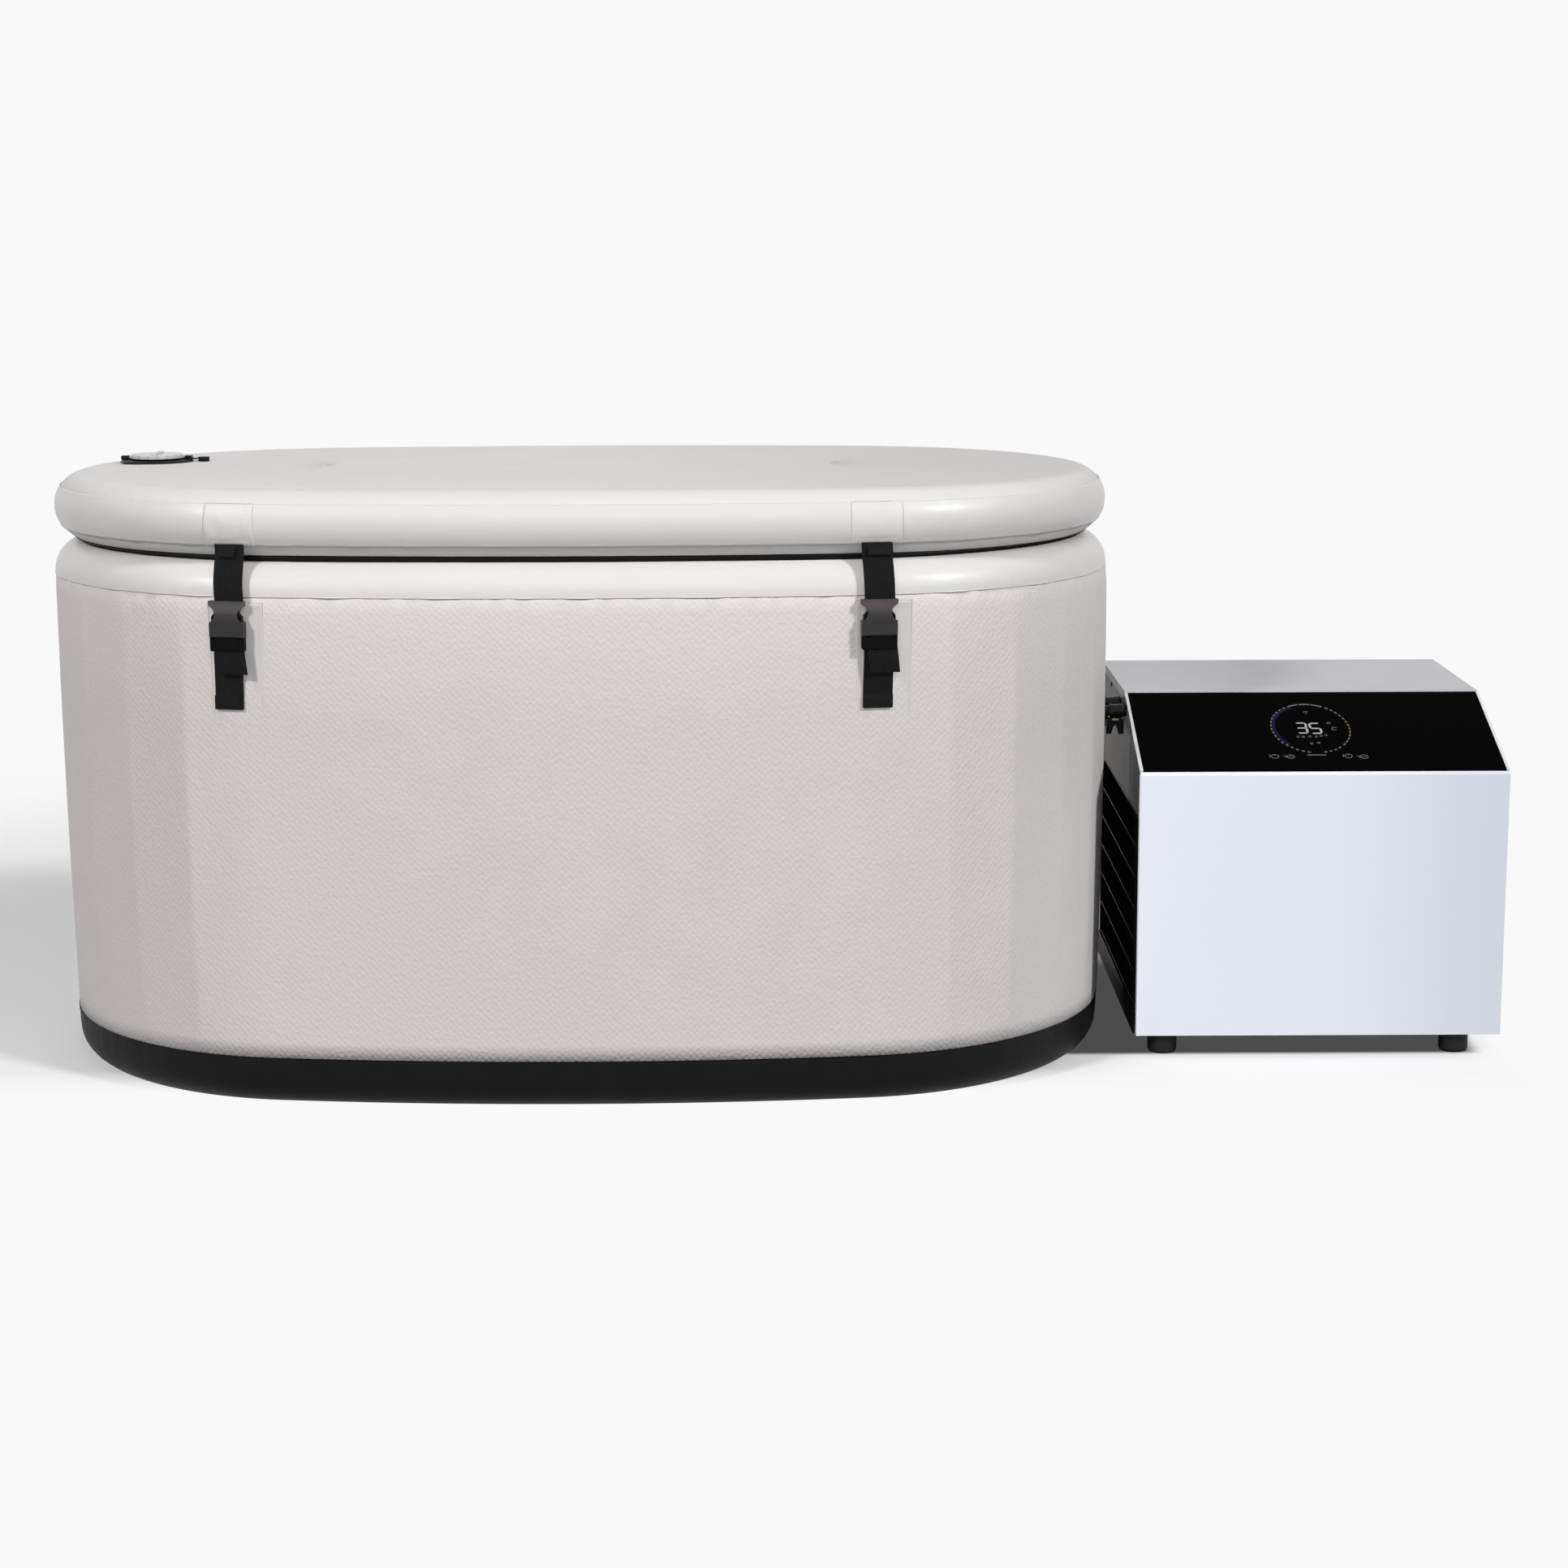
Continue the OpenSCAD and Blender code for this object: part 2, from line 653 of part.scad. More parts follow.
module ball_key(outer, bore, ball, stem) {
    difference() {
        union() {
            sphere(ball);
            cylinder(r = stem, h = outer + 8);
        }
        rotate([0, 90, 0]) cylinder(r = bore, h = 3*ball, center = true);
    }
}

// Drain
drain_pipe_r = 15;
drain_bore = 8;
drain_ball = 12;
drain_outer = 17;
drain_len = 44;
drain_out = 6;
drain_lever_l = 62;

module at_drain() {
    translate([0, half_w - lean_at(drain_z), drain_z]) rotate([-90, 0, 0]) children();
}

module drain_body() {
    color("#26282a") {
        at_drain() difference() {
            union() {
                translate([0, 0, 0.5]) cylinder(r = 29, h = drain_out - 0.5);
                translate([0, 0, -wall_t + lean_at(drain_z) - 4]) cylinder(r = drain_pipe_r, h = wall_t + 4 + drain_out);
                translate([0, 0, -wall_t + lean_at(drain_z) - gap - 4]) cylinder(r = 24, h = 4);
                translate([0, 0, drain_out + drain_len - 1]) cylinder(r = spout_r, h = spout_l + 1);
            }
            translate([0, 0, -2*wall_t]) cylinder(r = drain_bore, h = 2*wall_t + drain_out + 2);
            translate([0, 0, drain_out + drain_len - 3]) cylinder(r = drain_bore, h = spout_l + 9);
        }
        at_drain_ball() rotate([0, 0, 90]) ball_shell(drain_len, drain_outer, drain_bore, drain_ball, stem_r, 4);
    }
}

module at_drain_ball() {
    translate([0, half_w - lean_at(drain_z) + drain_out + drain_len/2, drain_z]) children();
}

module drain_lever() {
    top = drain_outer + 4.4;
    color("#b03030") at_drain_ball() {
        ball_key(drain_outer, drain_bore, drain_ball, stem_r);
        translate([-9, -7, top]) cube([drain_lever_l, 14, 3]);
        translate([drain_lever_l - 9, 0, top]) cylinder(r = 7, h = 3);
    }
}

// Water couplings
port_ys = [port_front_y, port_front_y + port_pitch];
unit_x = half_l + unit_gap;
washer_r = 16;
port_bore = pipe_r - pipe_wall;
port_lean = lean_at(port_z + washer_r);
// Where the outer and inner faces of the tub's end wall pass y at the ports' height
function end_x(y, inset) = end_c + sqrt(pow(end_r - inset, 2) - y*y);
nut_r = 10;
nut_l = 5;
shell_len = 18;
shell_outer = 9.5;
shell_ball = 7.2;
shell_bore = 4.5;
shell_stem = 2.5;
gland_h = 2.6;
shell_x = unit_x - nut_l - gap - shell_len/2 - gap;

module at_port(y) {
    translate([0, y, port_z]) children();
}

module tube_x(x0, x1, r, bore) {
    translate([x0, 0, 0]) rotate([0, 90, 0]) difference() {
        cylinder(r = r, h = x1 - x0);
        translate([0, 0, -1]) cylinder(r = bore, h = x1 - x0 + 2);
    }
}

// A pipe through the tub's wall with a washer flange inside and outside
module wall_fittings() {
    outer_t = 5;
    inner_t = 4;
    inner_r = 22;
    color("#26282a") for (y = port_ys) at_port(y) {
        outside = max(end_x(y - washer_r, port_lean), end_x(y, port_lean)) + gap;
        inside = end_x(y + inner_r, wall_t);
        tube_x(inside - inner_t - 14, shell_x - shell_len/2 - gap, pipe_r, port_bore);
        tube_x(outside, outside + outer_t, washer_r, pipe_r - 1);
        tube_x(inside - inner_t - gap, inside - gap, inner_r, pipe_r - 1);
    }
}

module strainer() {
    cup_r = 24;
    cup_l = 26;
    inside = end_x(port_ys[1] + 22, wall_t) - 4 - gap;
    color("#26282a") at_port(port_ys[1]) translate([inside - gap, 0, 0]) rotate([0, -90, 0]) difference() {
        cylinder(r = cup_r, h = cup_l);
        translate([0, 0, -1]) cylinder(r = cup_r - 2.5, h = cup_l - 2);
        for (a = [0:30:330]) rotate([0, 0, a]) translate([0, -1.5, 5]) cube([cup_r + 5, 3, cup_l - 10]);
    }
}

module return_jet() {
    inside = end_x(port_ys[0] + 22, wall_t) - 4 - gap;
    color("#26282a") at_port(port_ys[0]) translate([inside - gap, 0, 0]) rotate([0, -90, 0]) difference() {
        union() {
            cylinder(r = 24, h = 6);
            translate([0, 0, 6]) cylinder(r1 = 20, r2 = 13, h = 9);
        }
        translate([0, 0, -1]) cylinder(r = pipe_r + gap, h = 17);
    }
}

module union_nuts() {
    color("#1f2021") for (y = port_ys) at_port(y) translate([unit_x - nut_l - gap, 0, 0]) difference() {
        rotate([0, 90, 0]) cylinder(r = nut_r, h = nut_l, $fn = 8);
        translate([-1, 0, 0]) rotate([0, 90, 0]) cylinder(r = pipe_r + gap, h = nut_l + 2);
    }
}

module valve_shells() {
    color("#1f2021") for (y = port_ys) at_port(y) {
        translate([shell_x, 0, 0]) rotate([180, 0, 0])
            ball_shell(shell_len, shell_outer, shell_bore, shell_ball, shell_stem, 1);
        tube_x(shell_x + shell_len/2, unit_x + sheet_metal + 30, pipe_r, port_bore);
    }
}

// Brass packing nut on the neck of each ball valve
module gland_nuts() {
    color("#b08d57") for (y = port_ys) at_port(y) translate([shell_x, 0, 0]) rotate([180, 0, 0]) difference() {
        translate([0, 0, shell_outer + 1 + 0.1]) cylinder(r = 9.5, h = gland_h, $fn = 6);
        cylinder(r = shell_stem + run, h = 40);
    }
}

// Butterfly handle under the ball: a bar with two wings
module port_key(y) {
    wing_x = 13;
    wing_w = 7.5;
    wing_h = 21;
    top = shell_outer + 1 + 0.1 + gland_h + gap;
    at_port(y) translate([shell_x, 0, 0]) rotate([180, 0, 0]) {
        ball_key(shell_outer, shell_bore, shell_ball, shell_stem);
        translate([-wing_x, 0, 0]) rotate([90, 0, 0]) translate([0, 0, -2.5]) linear_extrude(5) polygon([
            [0, top], [2*wing_x, top], [2*wing_x, top + wing_h], [2*wing_x - wing_w, top + wing_h],
            [wing_x + 1, top + 6], [wing_x - 1, top + 6], [wing_w, top + wing_h], [0, top + wing_h]]);
    }
}

module front_valve_lever() { color("#161616") port_key(port_ys[0]); }
module rear_valve_lever() { color("#161616") port_key(port_ys[1]); }

// Chiller: the unit frame has its origin at the front left lower corner on the floor
slant_h = unit_h - kink_z;
slant_ang = atan2(slant_h, slant_d);
slant_l = norm([slant_h, slant_d]);
inner_x = sheet_metal + gap;
pan_z = unit_foot_h;
inset_y = 30;
louvre_y0 = 34;
louvre_y1 = unit_d - 40;

module at_unit() {
    translate([unit_x, -unit_front, 0]) children();
}

module at_slant() {
    translate([0, 0, kink_z]) rotate([slant_ang, 0, 0]) children();
}

// Side outline as [y, z]: inset from the front, back and top, and under from the slant's face
module side_plate(inset, under) {
    rotate([90, 0, 90]) linear_extrude(sheet_metal) polygon([
        [inset, pan_z], [unit_d - inset, pan_z], [unit_d - inset, unit_h - inset],
        [(slant_h - inset)/tan(slant_ang) + under/sin(slant_ang), unit_h - inset],
        [inset, kink_z + inset*tan(slant_ang) - under/cos(slant_ang)]]);
}

module base_pan() {
    lip = 18;
    x0 = inner_x + sheet_metal + gap;
    y0 = x0;
    color("#8a8d90") at_unit() difference() {
        translate([x0, y0, pan_z]) cube([unit_w - 2*x0, unit_d - 2*y0, lip]);
        translate([x0 + sheet_metal, y0 + sheet_metal, pan_z + sheet_metal])
            cube([unit_w - 2*x0 - 2*sheet_metal, unit_d - 2*y0 - 2*sheet_metal, lip]);
    }
}

foot_xy = [for (x = [41, unit_w - 60], y = [32, unit_d - 50]) [x, y]];

module chiller_feet() {
    color("#171717") at_unit() for (p = foot_xy) translate([p[0], p[1], 0]) difference() {
        union() {
            cylinder(r1 = unit_foot_r - 2, r2 = unit_foot_r, h = 4);
            translate([0, 0, 4]) cylinder(r = unit_foot_r, h = unit_foot_h - 4 - gap);
        }
        translate([0, 0, unit_foot_h/2]) cylinder(r = 8, h = unit_foot_h);
    }
}

// White front: a folded sheet with side returns and a rolled top edge
module front_panel() {
    side = 14;
    low = pan_z - 2;
    tall = kink_z - front_r - low;
    color("#dfe3ec") at_unit() {
        translate([0, 0, low]) cube([unit_w, sheet_metal, tall]);
        for (x = [0, unit_w - sheet_metal]) translate([x, 0, low]) cube([sheet_metal, side, tall]);
        translate([0, front_r, kink_z - front_r]) rotate([90, 0, 90]) linear_extrude(unit_w)
            quarter_ring(front_r - sheet_metal, sheet_metal, -1, 1);
    }
}

// Light top: a sheet with a turned down edge at the back and both sides
module top_cover() {
    skirt = 12;
    color("#bfbfc4") at_unit() difference() {
        translate([0, slant_d, unit_h - skirt]) cube([unit_w, unit_d - slant_d, skirt]);
        translate([sheet_metal, slant_d - 1, unit_h - skirt - 1])
            cube([unit_w - 2*sheet_metal, unit_d - slant_d - sheet_metal + 1, skirt + 1 - sheet_metal]);
    }
}

// Grey side with the louvre's cut-out, and the couplings' holes on the left
module side_panel(x, holes) {
    cut = 6;
    color("#8f8c8a") at_unit() difference() {
        translate([x, 0, 0]) side_plate(2*sheet_metal + gap, glass_t + gap);
        translate([x - 5, louvre_y0 + cut, louvre_z + cut])
            cube([sheet_metal + 10, louvre_y1 - louvre_y0 - 2*cut, louvre_h - 2*cut]);
        if (holes) for (y = port_ys) translate([x - 5, y + unit_front, port_z]) rotate([0, 90, 0])
            cylinder(r = pipe_r + gap, h = 20);
    }
}

module side_panels() {
    side_panel(sheet_metal + gap, true);
    side_panel(unit_w - 2*sheet_metal - gap, false);
}

// Black louvre: a frame with sloping slats that seats on the side panel
module louvre() {
    border = 7;
    span = louvre_y1 - louvre_y0;
    pitch = (louvre_h - 2*border)/slats;
    color("#101010") {
        difference() {
            translate([-1.2, louvre_y0, louvre_z]) cube([1.2 + sheet_metal, span, louvre_h]);
            translate([-3, louvre_y0 + border, louvre_z + border])
                cube([9, span - 2*border, louvre_h - 2*border]);
        }
        for (i = [0:slats - 1])
            translate([0, louvre_y1 - border + 0.5, louvre_z + border + i*pitch + 1]) rotate([90, 0, 0])
                linear_extrude(span - 2*border + 1)
                    polygon([[-1, 0], [-1, 12], [8, pitch - 4], [8, pitch - 6.5], [0.8, 10.5], [0.8, 1.5], [8, 1.5], [8, 0]]);
    }
}

module louvres() {
    at_unit() louvre();
    at_unit() translate([unit_w, 0, 0]) mirror([1, 0, 0]) louvre();
}

module rear_panel() {
    color("#8f8c8a") at_unit() difference() {
        translate([inner_x + sheet_metal + gap, unit_d - 2*sheet_metal - gap, pan_z])
            cube([unit_w - 2*(inner_x + sheet_metal + gap), sheet_metal, unit_h - pan_z - sheet_metal - gap]);
        translate([gland_x, unit_d + 1, gland_z]) rotate([90, 0, 0]) cylinder(r = gland_r + gap, h = 12);
        translate([rocker_x - 10.5, unit_d - 12, rocker_z - 15.5]) cube([21, 20, 31]);
    }
}

module control_glass() {
    color("#060606") at_unit() at_slant()
        translate([trim_w + gap, front_r + 0.6, -glass_t])
            cube([unit_w - 2*trim_w - 2*gap, slant_l - front_r - 2.6, glass_t]);
}

module glass_trim() {
    color("#e4e8ee") at_unit() for (x = [0, unit_w - trim_w])
        at_slant() translate([x, front_r + 0.6, -glass_t]) cube([trim_w, slant_l - front_r - 2.6, glass_t + 0.6]);
}

// Inside of the chiller

module display_board() {
    color("#2f5d3a") at_unit() at_slant() {
        translate([unit_w/2 - 90, 30, -glass_t - gap - 8]) cube([180, 130, 1.6]);
        for (x = [-80, 80], y = [40, 150]) translate([unit_w/2 + x, y, -glass_t - gap - 7]) cylinder(r = 3, h = 7);
        translate([unit_w/2 - 60, 55, -glass_t - gap - 6.5]) cube([120, 80, 5]);
    }
}

module condenser() {
    fins = 28;
    span = louvre_y1 - louvre_y0 - 40;
    tall = louvre_h - 20;
    color("#b9bcc0") at_unit() translate([14, louvre_y0 + 20, louvre_z + 4]) {
        for (i = [0:fins]) translate([0, i*(span - 2)/fins, 0]) cube([26, 2, tall]);
        for (k = [0:5], x = [8, 18]) translate([x, -8, 22 + k*42]) rotate([-90, 0, 0]) cylinder(r = 3.5, h = span + 16);
        for (z = [-4, tall - 2]) translate([0, 0, z]) cube([26, span, 4]);
        for (y = [0, span - 4]) translate([0, y, pan_z + sheet_metal + gap - louvre_z - 4])
            cube([26, 4, louvre_z + 4 - pan_z - sheet_metal - gap]);
    }
}

fan_x = 84;
fan_y = (louvre_y0 + louvre_y1)/2;
fan_z = louvre_z + louvre_h/2;
hub_r = 34;

module fan_shroud() {
    plate = 2;
    side = 2*fan_r + 24;
    depth = 34;
    color("#1b1b1b") at_unit() translate([40 + gap, fan_y, fan_z]) difference() {
        union() {
            translate([0, -side/2 - 30, -side/2]) cube([plate, side + 60, side]);
            rotate([0, 90, 0]) cylinder(r = fan_r + 6, h = depth);
        }
        translate([-1, 0, 0]) rotate([0, 90, 0]) cylinder(r = fan_r + 3, h = depth + 2);
    }
}

module fan_motor() {
    color("#3c3f42") at_unit() translate([fan_x, fan_y, fan_z]) {
        rotate([0, 90, 0]) cylinder(r = 30, h = 52);
        translate([-22, 0, 0]) rotate([0, 90, 0]) cylinder(r = 4, h = 23);
        for (a = [45:90:315]) rotate([a, 0, 0]) difference() {
            translate([4, 28, -3]) cube([5, fan_r - 18, 6]);
        }
        for (a = [45:90:315]) rotate([a, 0, 0]) translate([-16, fan_r + 6.3, -3]) cube([25, 4, 6]);
    }
}

// Cambered blades cut from thin round shells round a hub
module fan_blades() {
    camber_r = 70;
    color("#d8dadc") at_unit() translate([fan_x - 24, fan_y, fan_z]) {
        difference() {
            translate([-4, 0, 0]) rotate([0, 90, 0]) cylinder(r = hub_r, h = 24);
            translate([-5, 0, 0]) rotate([0, 90, 0]) cylinder(r = 4 + run, h = 26);
        }
        for (i = [0:blades - 1]) rotate([i*360/blades, 0, 0]) intersection() {
            translate([-42, -58, 0]) difference() {
                cylinder(r = camber_r + 1, h = fan_r);
                translate([0, 0, -1]) cylinder(r = camber_r - 1, h = fan_r + 2);
            }
            difference() {
                translate([-2, 0, 0]) rotate([0, 90, 0]) cylinder(r = fan_r - 2, h = 20);
                translate([-3, 0, 0]) rotate([0, 90, 0]) cylinder(r = hub_r - 1, h = 24);
            }
            translate([-2, -50, 20]) cube([20, 60, fan_r]);
        }
    }
}

module compressor() {
    r = 58;
    body_h = 150;
    color("#1e2022") at_unit() translate([unit_w - 110, unit_d - 110, pan_z + sheet_metal + gap]) {
        translate([0, 0, 22]) cylinder(r = r, h = body_h);
        translate([0, 0, 22 + body_h]) intersection() {
            translate([0, 0, -r*0.9]) sphere(r*1.345);
            cylinder(r = r, h = r);
        }
        translate([0, 0, 12]) cylinder(r1 = r - 16, r2 = r, h = 10);
        for (a = [90, 210, 330]) rotate([0, 0, a]) {
            translate([0, -12, 12]) cube([r + 18, 24, 4]);
            translate([r + 6, 0, 0]) cylinder(r = 9, h = 12);
        }
        translate([0, 0, 22 + body_h + 20]) cylinder(r = 14, h = 16);
    }
}

hx_x = unit_w - 100;
hx_y = 110;
hx_r = 55;

module heat_exchanger() {
    tall = 250;
    color("#d5d7d8") at_unit() translate([hx_x, hx_y, pan_z + sheet_metal + gap]) {
        cylinder(r = hx_r + 6, h = 12);
        translate([0, 0, 12]) cylinder(r = hx_r, h = tall - 24);
        translate([0, 0, tall - 12]) cylinder(r = hx_r + 6, h = 12);
        for (z = [60, 190]) translate([-hx_r - 22, 0, z]) rotate([0, 90, 0]) cylinder(r = 12, h = 40);
    }
}

pump_x = 250;
pump_y = 100;

module water_pump() {
    base = pan_z + sheet_metal + gap;
    color("#2a4b7c") at_unit() translate([pump_x, pump_y, base]) {
        translate([-30, -40, 0]) cube([120, 80, 6]);
        translate([-10, -20, 5]) cube([80, 40, 20]);
        translate([-30, 0, 60]) rotate([0, 90, 0]) cylinder(r = 42, h = 110);
        translate([-62, 0, 60]) rotate([0, 90, 0]) cylinder(r = 50, h = 33);
        translate([-76, 0, 60]) rotate([0, 90, 0]) cylinder(r = 12, h = 16);
        translate([-45, 0, 60]) cylinder(r = 12, h = 66);
    }
}

// A run of round pipe: straight pieces joined by quarter bends
module pipe_run(points, r, bend) {
    n = len(points);
    dirs = [for (i = [0:n - 2]) (points[i + 1] - points[i])/norm(points[i + 1] - points[i])];
    for (i = [0:n - 2]) {
        a = points[i] + (i > 0 ? bend : 0)*dirs[i];
        b = points[i + 1] - (i < n - 2 ? bend : 0)*dirs[i];
        translate(a) rotate([0, acos(dirs[i][2]), atan2(dirs[i][1], dirs[i][0])])
            cylinder(r = r, h = norm(b - a));
        if (i > 0) pipe_bend(points[i], dirs[i - 1], dirs[i], r, bend);
    }
}

module pipe_bend(p, d, e, r, bend) {
    z = cross(d, e);
    c = p - bend*d + bend*e;
    multmatrix([[-e[0], d[0], z[0], c[0]], [-e[1], d[1], z[1], c[1]], [-e[2], d[2], z[2], c[2]], [0, 0, 0, 1]])
        rotate_extrude(angle = 90) translate([bend, 0]) circle(r);
}

module inner_pipes() {
    left = sheet_metal + 30;
    y_front = port_ys[0] + unit_front;
    y_rear = port_ys[1] + unit_front;
    cross_z = kink_z - 13;
    low_z = kink_z - 53;
    base = pan_z + sheet_metal + gap;
    color("#5a5d60") at_unit() {
        pipe_run([[left + gap, y_front, port_z], [110, y_front, port_z], [110, y_front, low_z], [hx_x, y_front, low_z],
                  [hx_x, hx_y, low_z], [hx_x, hx_y, base + 250 + gap]], 10, 20);
        pipe_run([[left + gap, y_rear, port_z], [pump_x - 45, y_rear, port_z], [pump_x - 45, y_rear, cross_z],
                  [pump_x - 45, pump_y, cross_z], [pump_x - 45, pump_y, base + 126 + gap]], 10, 20);
    }
    color("#b56b3a") at_unit()
        pipe_run([[unit_w - 110, unit_d - 110, base + 208 + gap], [unit_w - 110, unit_d - 110, base + 240],
                  [70, unit_d - 110, base + 240], [70, unit_d - 70, base + 240], [46, unit_d - 70, base + 240]], 5, 12);
}

module control_box() {
    color("#4a4d50") at_unit() translate([unit_w/2 - 80, unit_d - 2*sheet_metal - 2*gap - 60, 350]) {
        cube([150, 60, 90]);
        for (x = [10, 132]) translate([x, -4, 20]) cube([8, 5, 50]);
    }
}

gland_x = 90;
gland_z = 90;
gland_r = 9;
gland_bore = 4.2;

module mains_gland() {
    color("#141414") at_unit() translate([gland_x, unit_d - 14, gland_z]) rotate([-90, 0, 0]) difference() {
        union() {
            cylinder(r = gland_r, h = 24);
            translate([0, 0, 14 - sheet_metal - gap + gap]) cylinder(r = 13, h = 5, $fn = 6);
            translate([0, 0, 4]) cylinder(r = 13, h = 14 - 4 - 2*sheet_metal - 2*gap, $fn = 6);
            translate([0, 0, 24]) cylinder(r1 = gland_r, r2 = gland_bore + 1.5, h = 8);
        }
        translate([0, 0, -1]) cylinder(r = gland_bore, h = 40);
    }
}

rocker_x = 150;
rocker_z = 90;

module mains_bezel() {
    color("#181818") at_unit() translate([rocker_x, unit_d, rocker_z]) difference() {
        union() {
            translate([-13, -sheet_metal, -18]) cube([26, 4, 36]);
            translate([-10, -20, -15]) cube([20, 21, 30]);
        }
        translate([-8, -17, -13]) cube([16, 40, 26]);
        translate([0, -3, 0]) rotate([0, 90, 0]) cylinder(r = 2 + run, h = 40, center = true);
    }
}

// Rocker key: turns on two trunnions in its bezel
module mains_rocker() {
    color("#101010") at_unit() translate([rocker_x, unit_d - 3, rocker_z]) {
        intersection() {
            translate([-7.7, -8, -12.7]) cube([15.4, 16, 25.4]);
            difference() {
                rotate([0, 90, 0]) cylinder(r = 12.5, h = 15.4, center = true);
                translate([0, 20, 16]) rotate([0, 90, 0]) cylinder(r = 18, h = 20, center = true);
            }
        }
        rotate([0, 90, 0]) cylinder(r = 2, h = 19, center = true);
    }
}

module case_screws() {
    spots = [[413, 476], [unit_d - 22, 440], [unit_d - 22, 60], [22, 60]];
    color("#3a3a3a") at_unit() for (s = [0, 1], p = spots)
        translate([s == 0 ? sheet_metal : unit_w - sheet_metal, p[0], p[1]]) rotate([0, s == 0 ? -90 : 90, 0])
            cylinder(r = 4, h = 1.5);
}

base_sheet();
base_band();
tub_floor();
tub_wall();
rim_cover();
tub_patches();
tub_straps();
buckle_male_left();
buckle_male_right();
prong_left_a();
prong_left_b();
prong_right_a();
prong_right_b();
tub_valve_body();
tub_valve_pin();
tub_valve_cap();
tub_valve_tether();
drain_body();
drain_lever();
wall_fittings();
strainer();
return_jet();
valve_shells();
front_valve_lever();
rear_valve_lever();
union_nuts();
gland_nuts();
lid_pad();
lid_edge_band();
lid_patches();
lid_straps();
buckle_female_left();
buckle_female_right();
lid_valve_body();
lid_valve_pin();
lid_valve_cap();
lid_valve_tether();
base_pan();
chiller_feet();
front_panel();
top_cover();
side_panels();
rear_panel();
louvres();
control_glass();
glass_trim();
display_board();
condenser();
fan_shroud();
fan_motor();
fan_blades();
compressor();
heat_exchanger();
water_pump();
inner_pipes();
control_box();
mains_gland();
mains_bezel();
mains_rocker();
case_screws();
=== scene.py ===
import json
import math
import bpy
import bmesh
import numpy as np
from mathutils import Matrix, Vector

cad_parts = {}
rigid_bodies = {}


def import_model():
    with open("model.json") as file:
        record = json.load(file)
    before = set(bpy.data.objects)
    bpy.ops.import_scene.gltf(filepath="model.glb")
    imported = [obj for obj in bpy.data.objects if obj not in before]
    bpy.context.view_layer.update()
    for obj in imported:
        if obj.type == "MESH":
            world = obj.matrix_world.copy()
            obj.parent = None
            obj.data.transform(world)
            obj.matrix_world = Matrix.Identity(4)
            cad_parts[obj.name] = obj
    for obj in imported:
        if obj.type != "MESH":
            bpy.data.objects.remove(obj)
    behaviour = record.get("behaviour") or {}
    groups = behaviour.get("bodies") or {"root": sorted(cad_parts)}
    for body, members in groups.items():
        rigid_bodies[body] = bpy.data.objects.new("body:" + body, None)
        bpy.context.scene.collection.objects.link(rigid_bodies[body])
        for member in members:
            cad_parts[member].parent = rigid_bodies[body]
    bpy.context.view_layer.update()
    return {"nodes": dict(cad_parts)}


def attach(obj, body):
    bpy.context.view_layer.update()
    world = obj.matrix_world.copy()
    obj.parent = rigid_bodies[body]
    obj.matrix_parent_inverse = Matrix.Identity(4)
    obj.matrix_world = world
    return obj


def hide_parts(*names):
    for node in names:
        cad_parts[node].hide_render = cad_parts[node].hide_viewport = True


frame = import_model()
scene = bpy.context.scene
nodes = frame["nodes"]

# Camera, light and floor
# A plain studio: the camera stands in front and to the right, two broad lights come from the left and the
# right front, and a soft box hangs in front of the tub. Floor and background are near white.


def srgb(r, g, b):
    """Screen colour (0 to 255) as linear light."""
    c = np.array([r, g, b]) / 255.0
    return (*np.where(c <= .04045, c / 12.92, ((c + .055) / 1.055) ** 2.4), 1.0)


def link(nt, a, out, b, into):
    """Joins one output of a node to one input of another."""
    nt.links.new(a.outputs[out], b.inputs[into])


FOCAL_PX, FRAME_PX, SENSOR_MM = 3767.5, 1932, 36
TILT, ROLL = .18734, .00408
# The second screen tone is a shadow painted flat on the floor under the chiller.
BACKDROP, PAINTED_SHADOW_TONE = 249, 76  # screen tones

camera = bpy.data.objects.new("camera", bpy.data.cameras.new("camera"))
scene.collection.objects.link(camera)
camera.data.sensor_width = SENSOR_MM
camera.data.lens = FOCAL_PX / FRAME_PX * SENSOR_MM
camera.data.clip_end = 60
camera.location = (.2873, -4.3862, 1.2018)
camera.rotation_euler = (Matrix.Rotation(math.pi / 2 - TILT, 3, "X") @ Matrix.Rotation(-ROLL, 3, "Z")).to_euler()
scene.camera = camera
scene.view_settings.view_transform = "Standard"


def seen(nt):
    """1 for rays that show the backdrop (from the camera, off gloss or through glass), 0 for soft light."""
    path = nt.nodes.new("ShaderNodeLightPath")
    last = (path, "Is Camera Ray")
    for ray in ("Is Glossy Ray", "Is Transmission Ray"):
        most = nt.nodes.new("ShaderNodeMath")
        most.operation = "MAXIMUM"
        link(nt, *last, most, 0)
        link(nt, path, ray, most, 1)
        last = (most, 0)
    return last


world = bpy.data.worlds.new("studio")
scene.world = world
world.use_nodes = True
nt = world.node_tree
nt.nodes.clear()
out = nt.nodes.new("ShaderNodeOutputWorld")
mix = nt.nodes.new("ShaderNodeMixShader")
for k, colour, strength in ((1, (.96, .97, 1, 1), .15), (2, srgb(BACKDROP, BACKDROP, BACKDROP), 1)):
    shade = nt.nodes.new("ShaderNodeBackground")
    shade.inputs["Color"].default_value = colour
    shade.inputs["Strength"].default_value = strength
    link(nt, shade, "Background", mix, k)
link(nt, *seen(nt), mix, "Fac")
link(nt, mix, "Shader", out, "Surface")


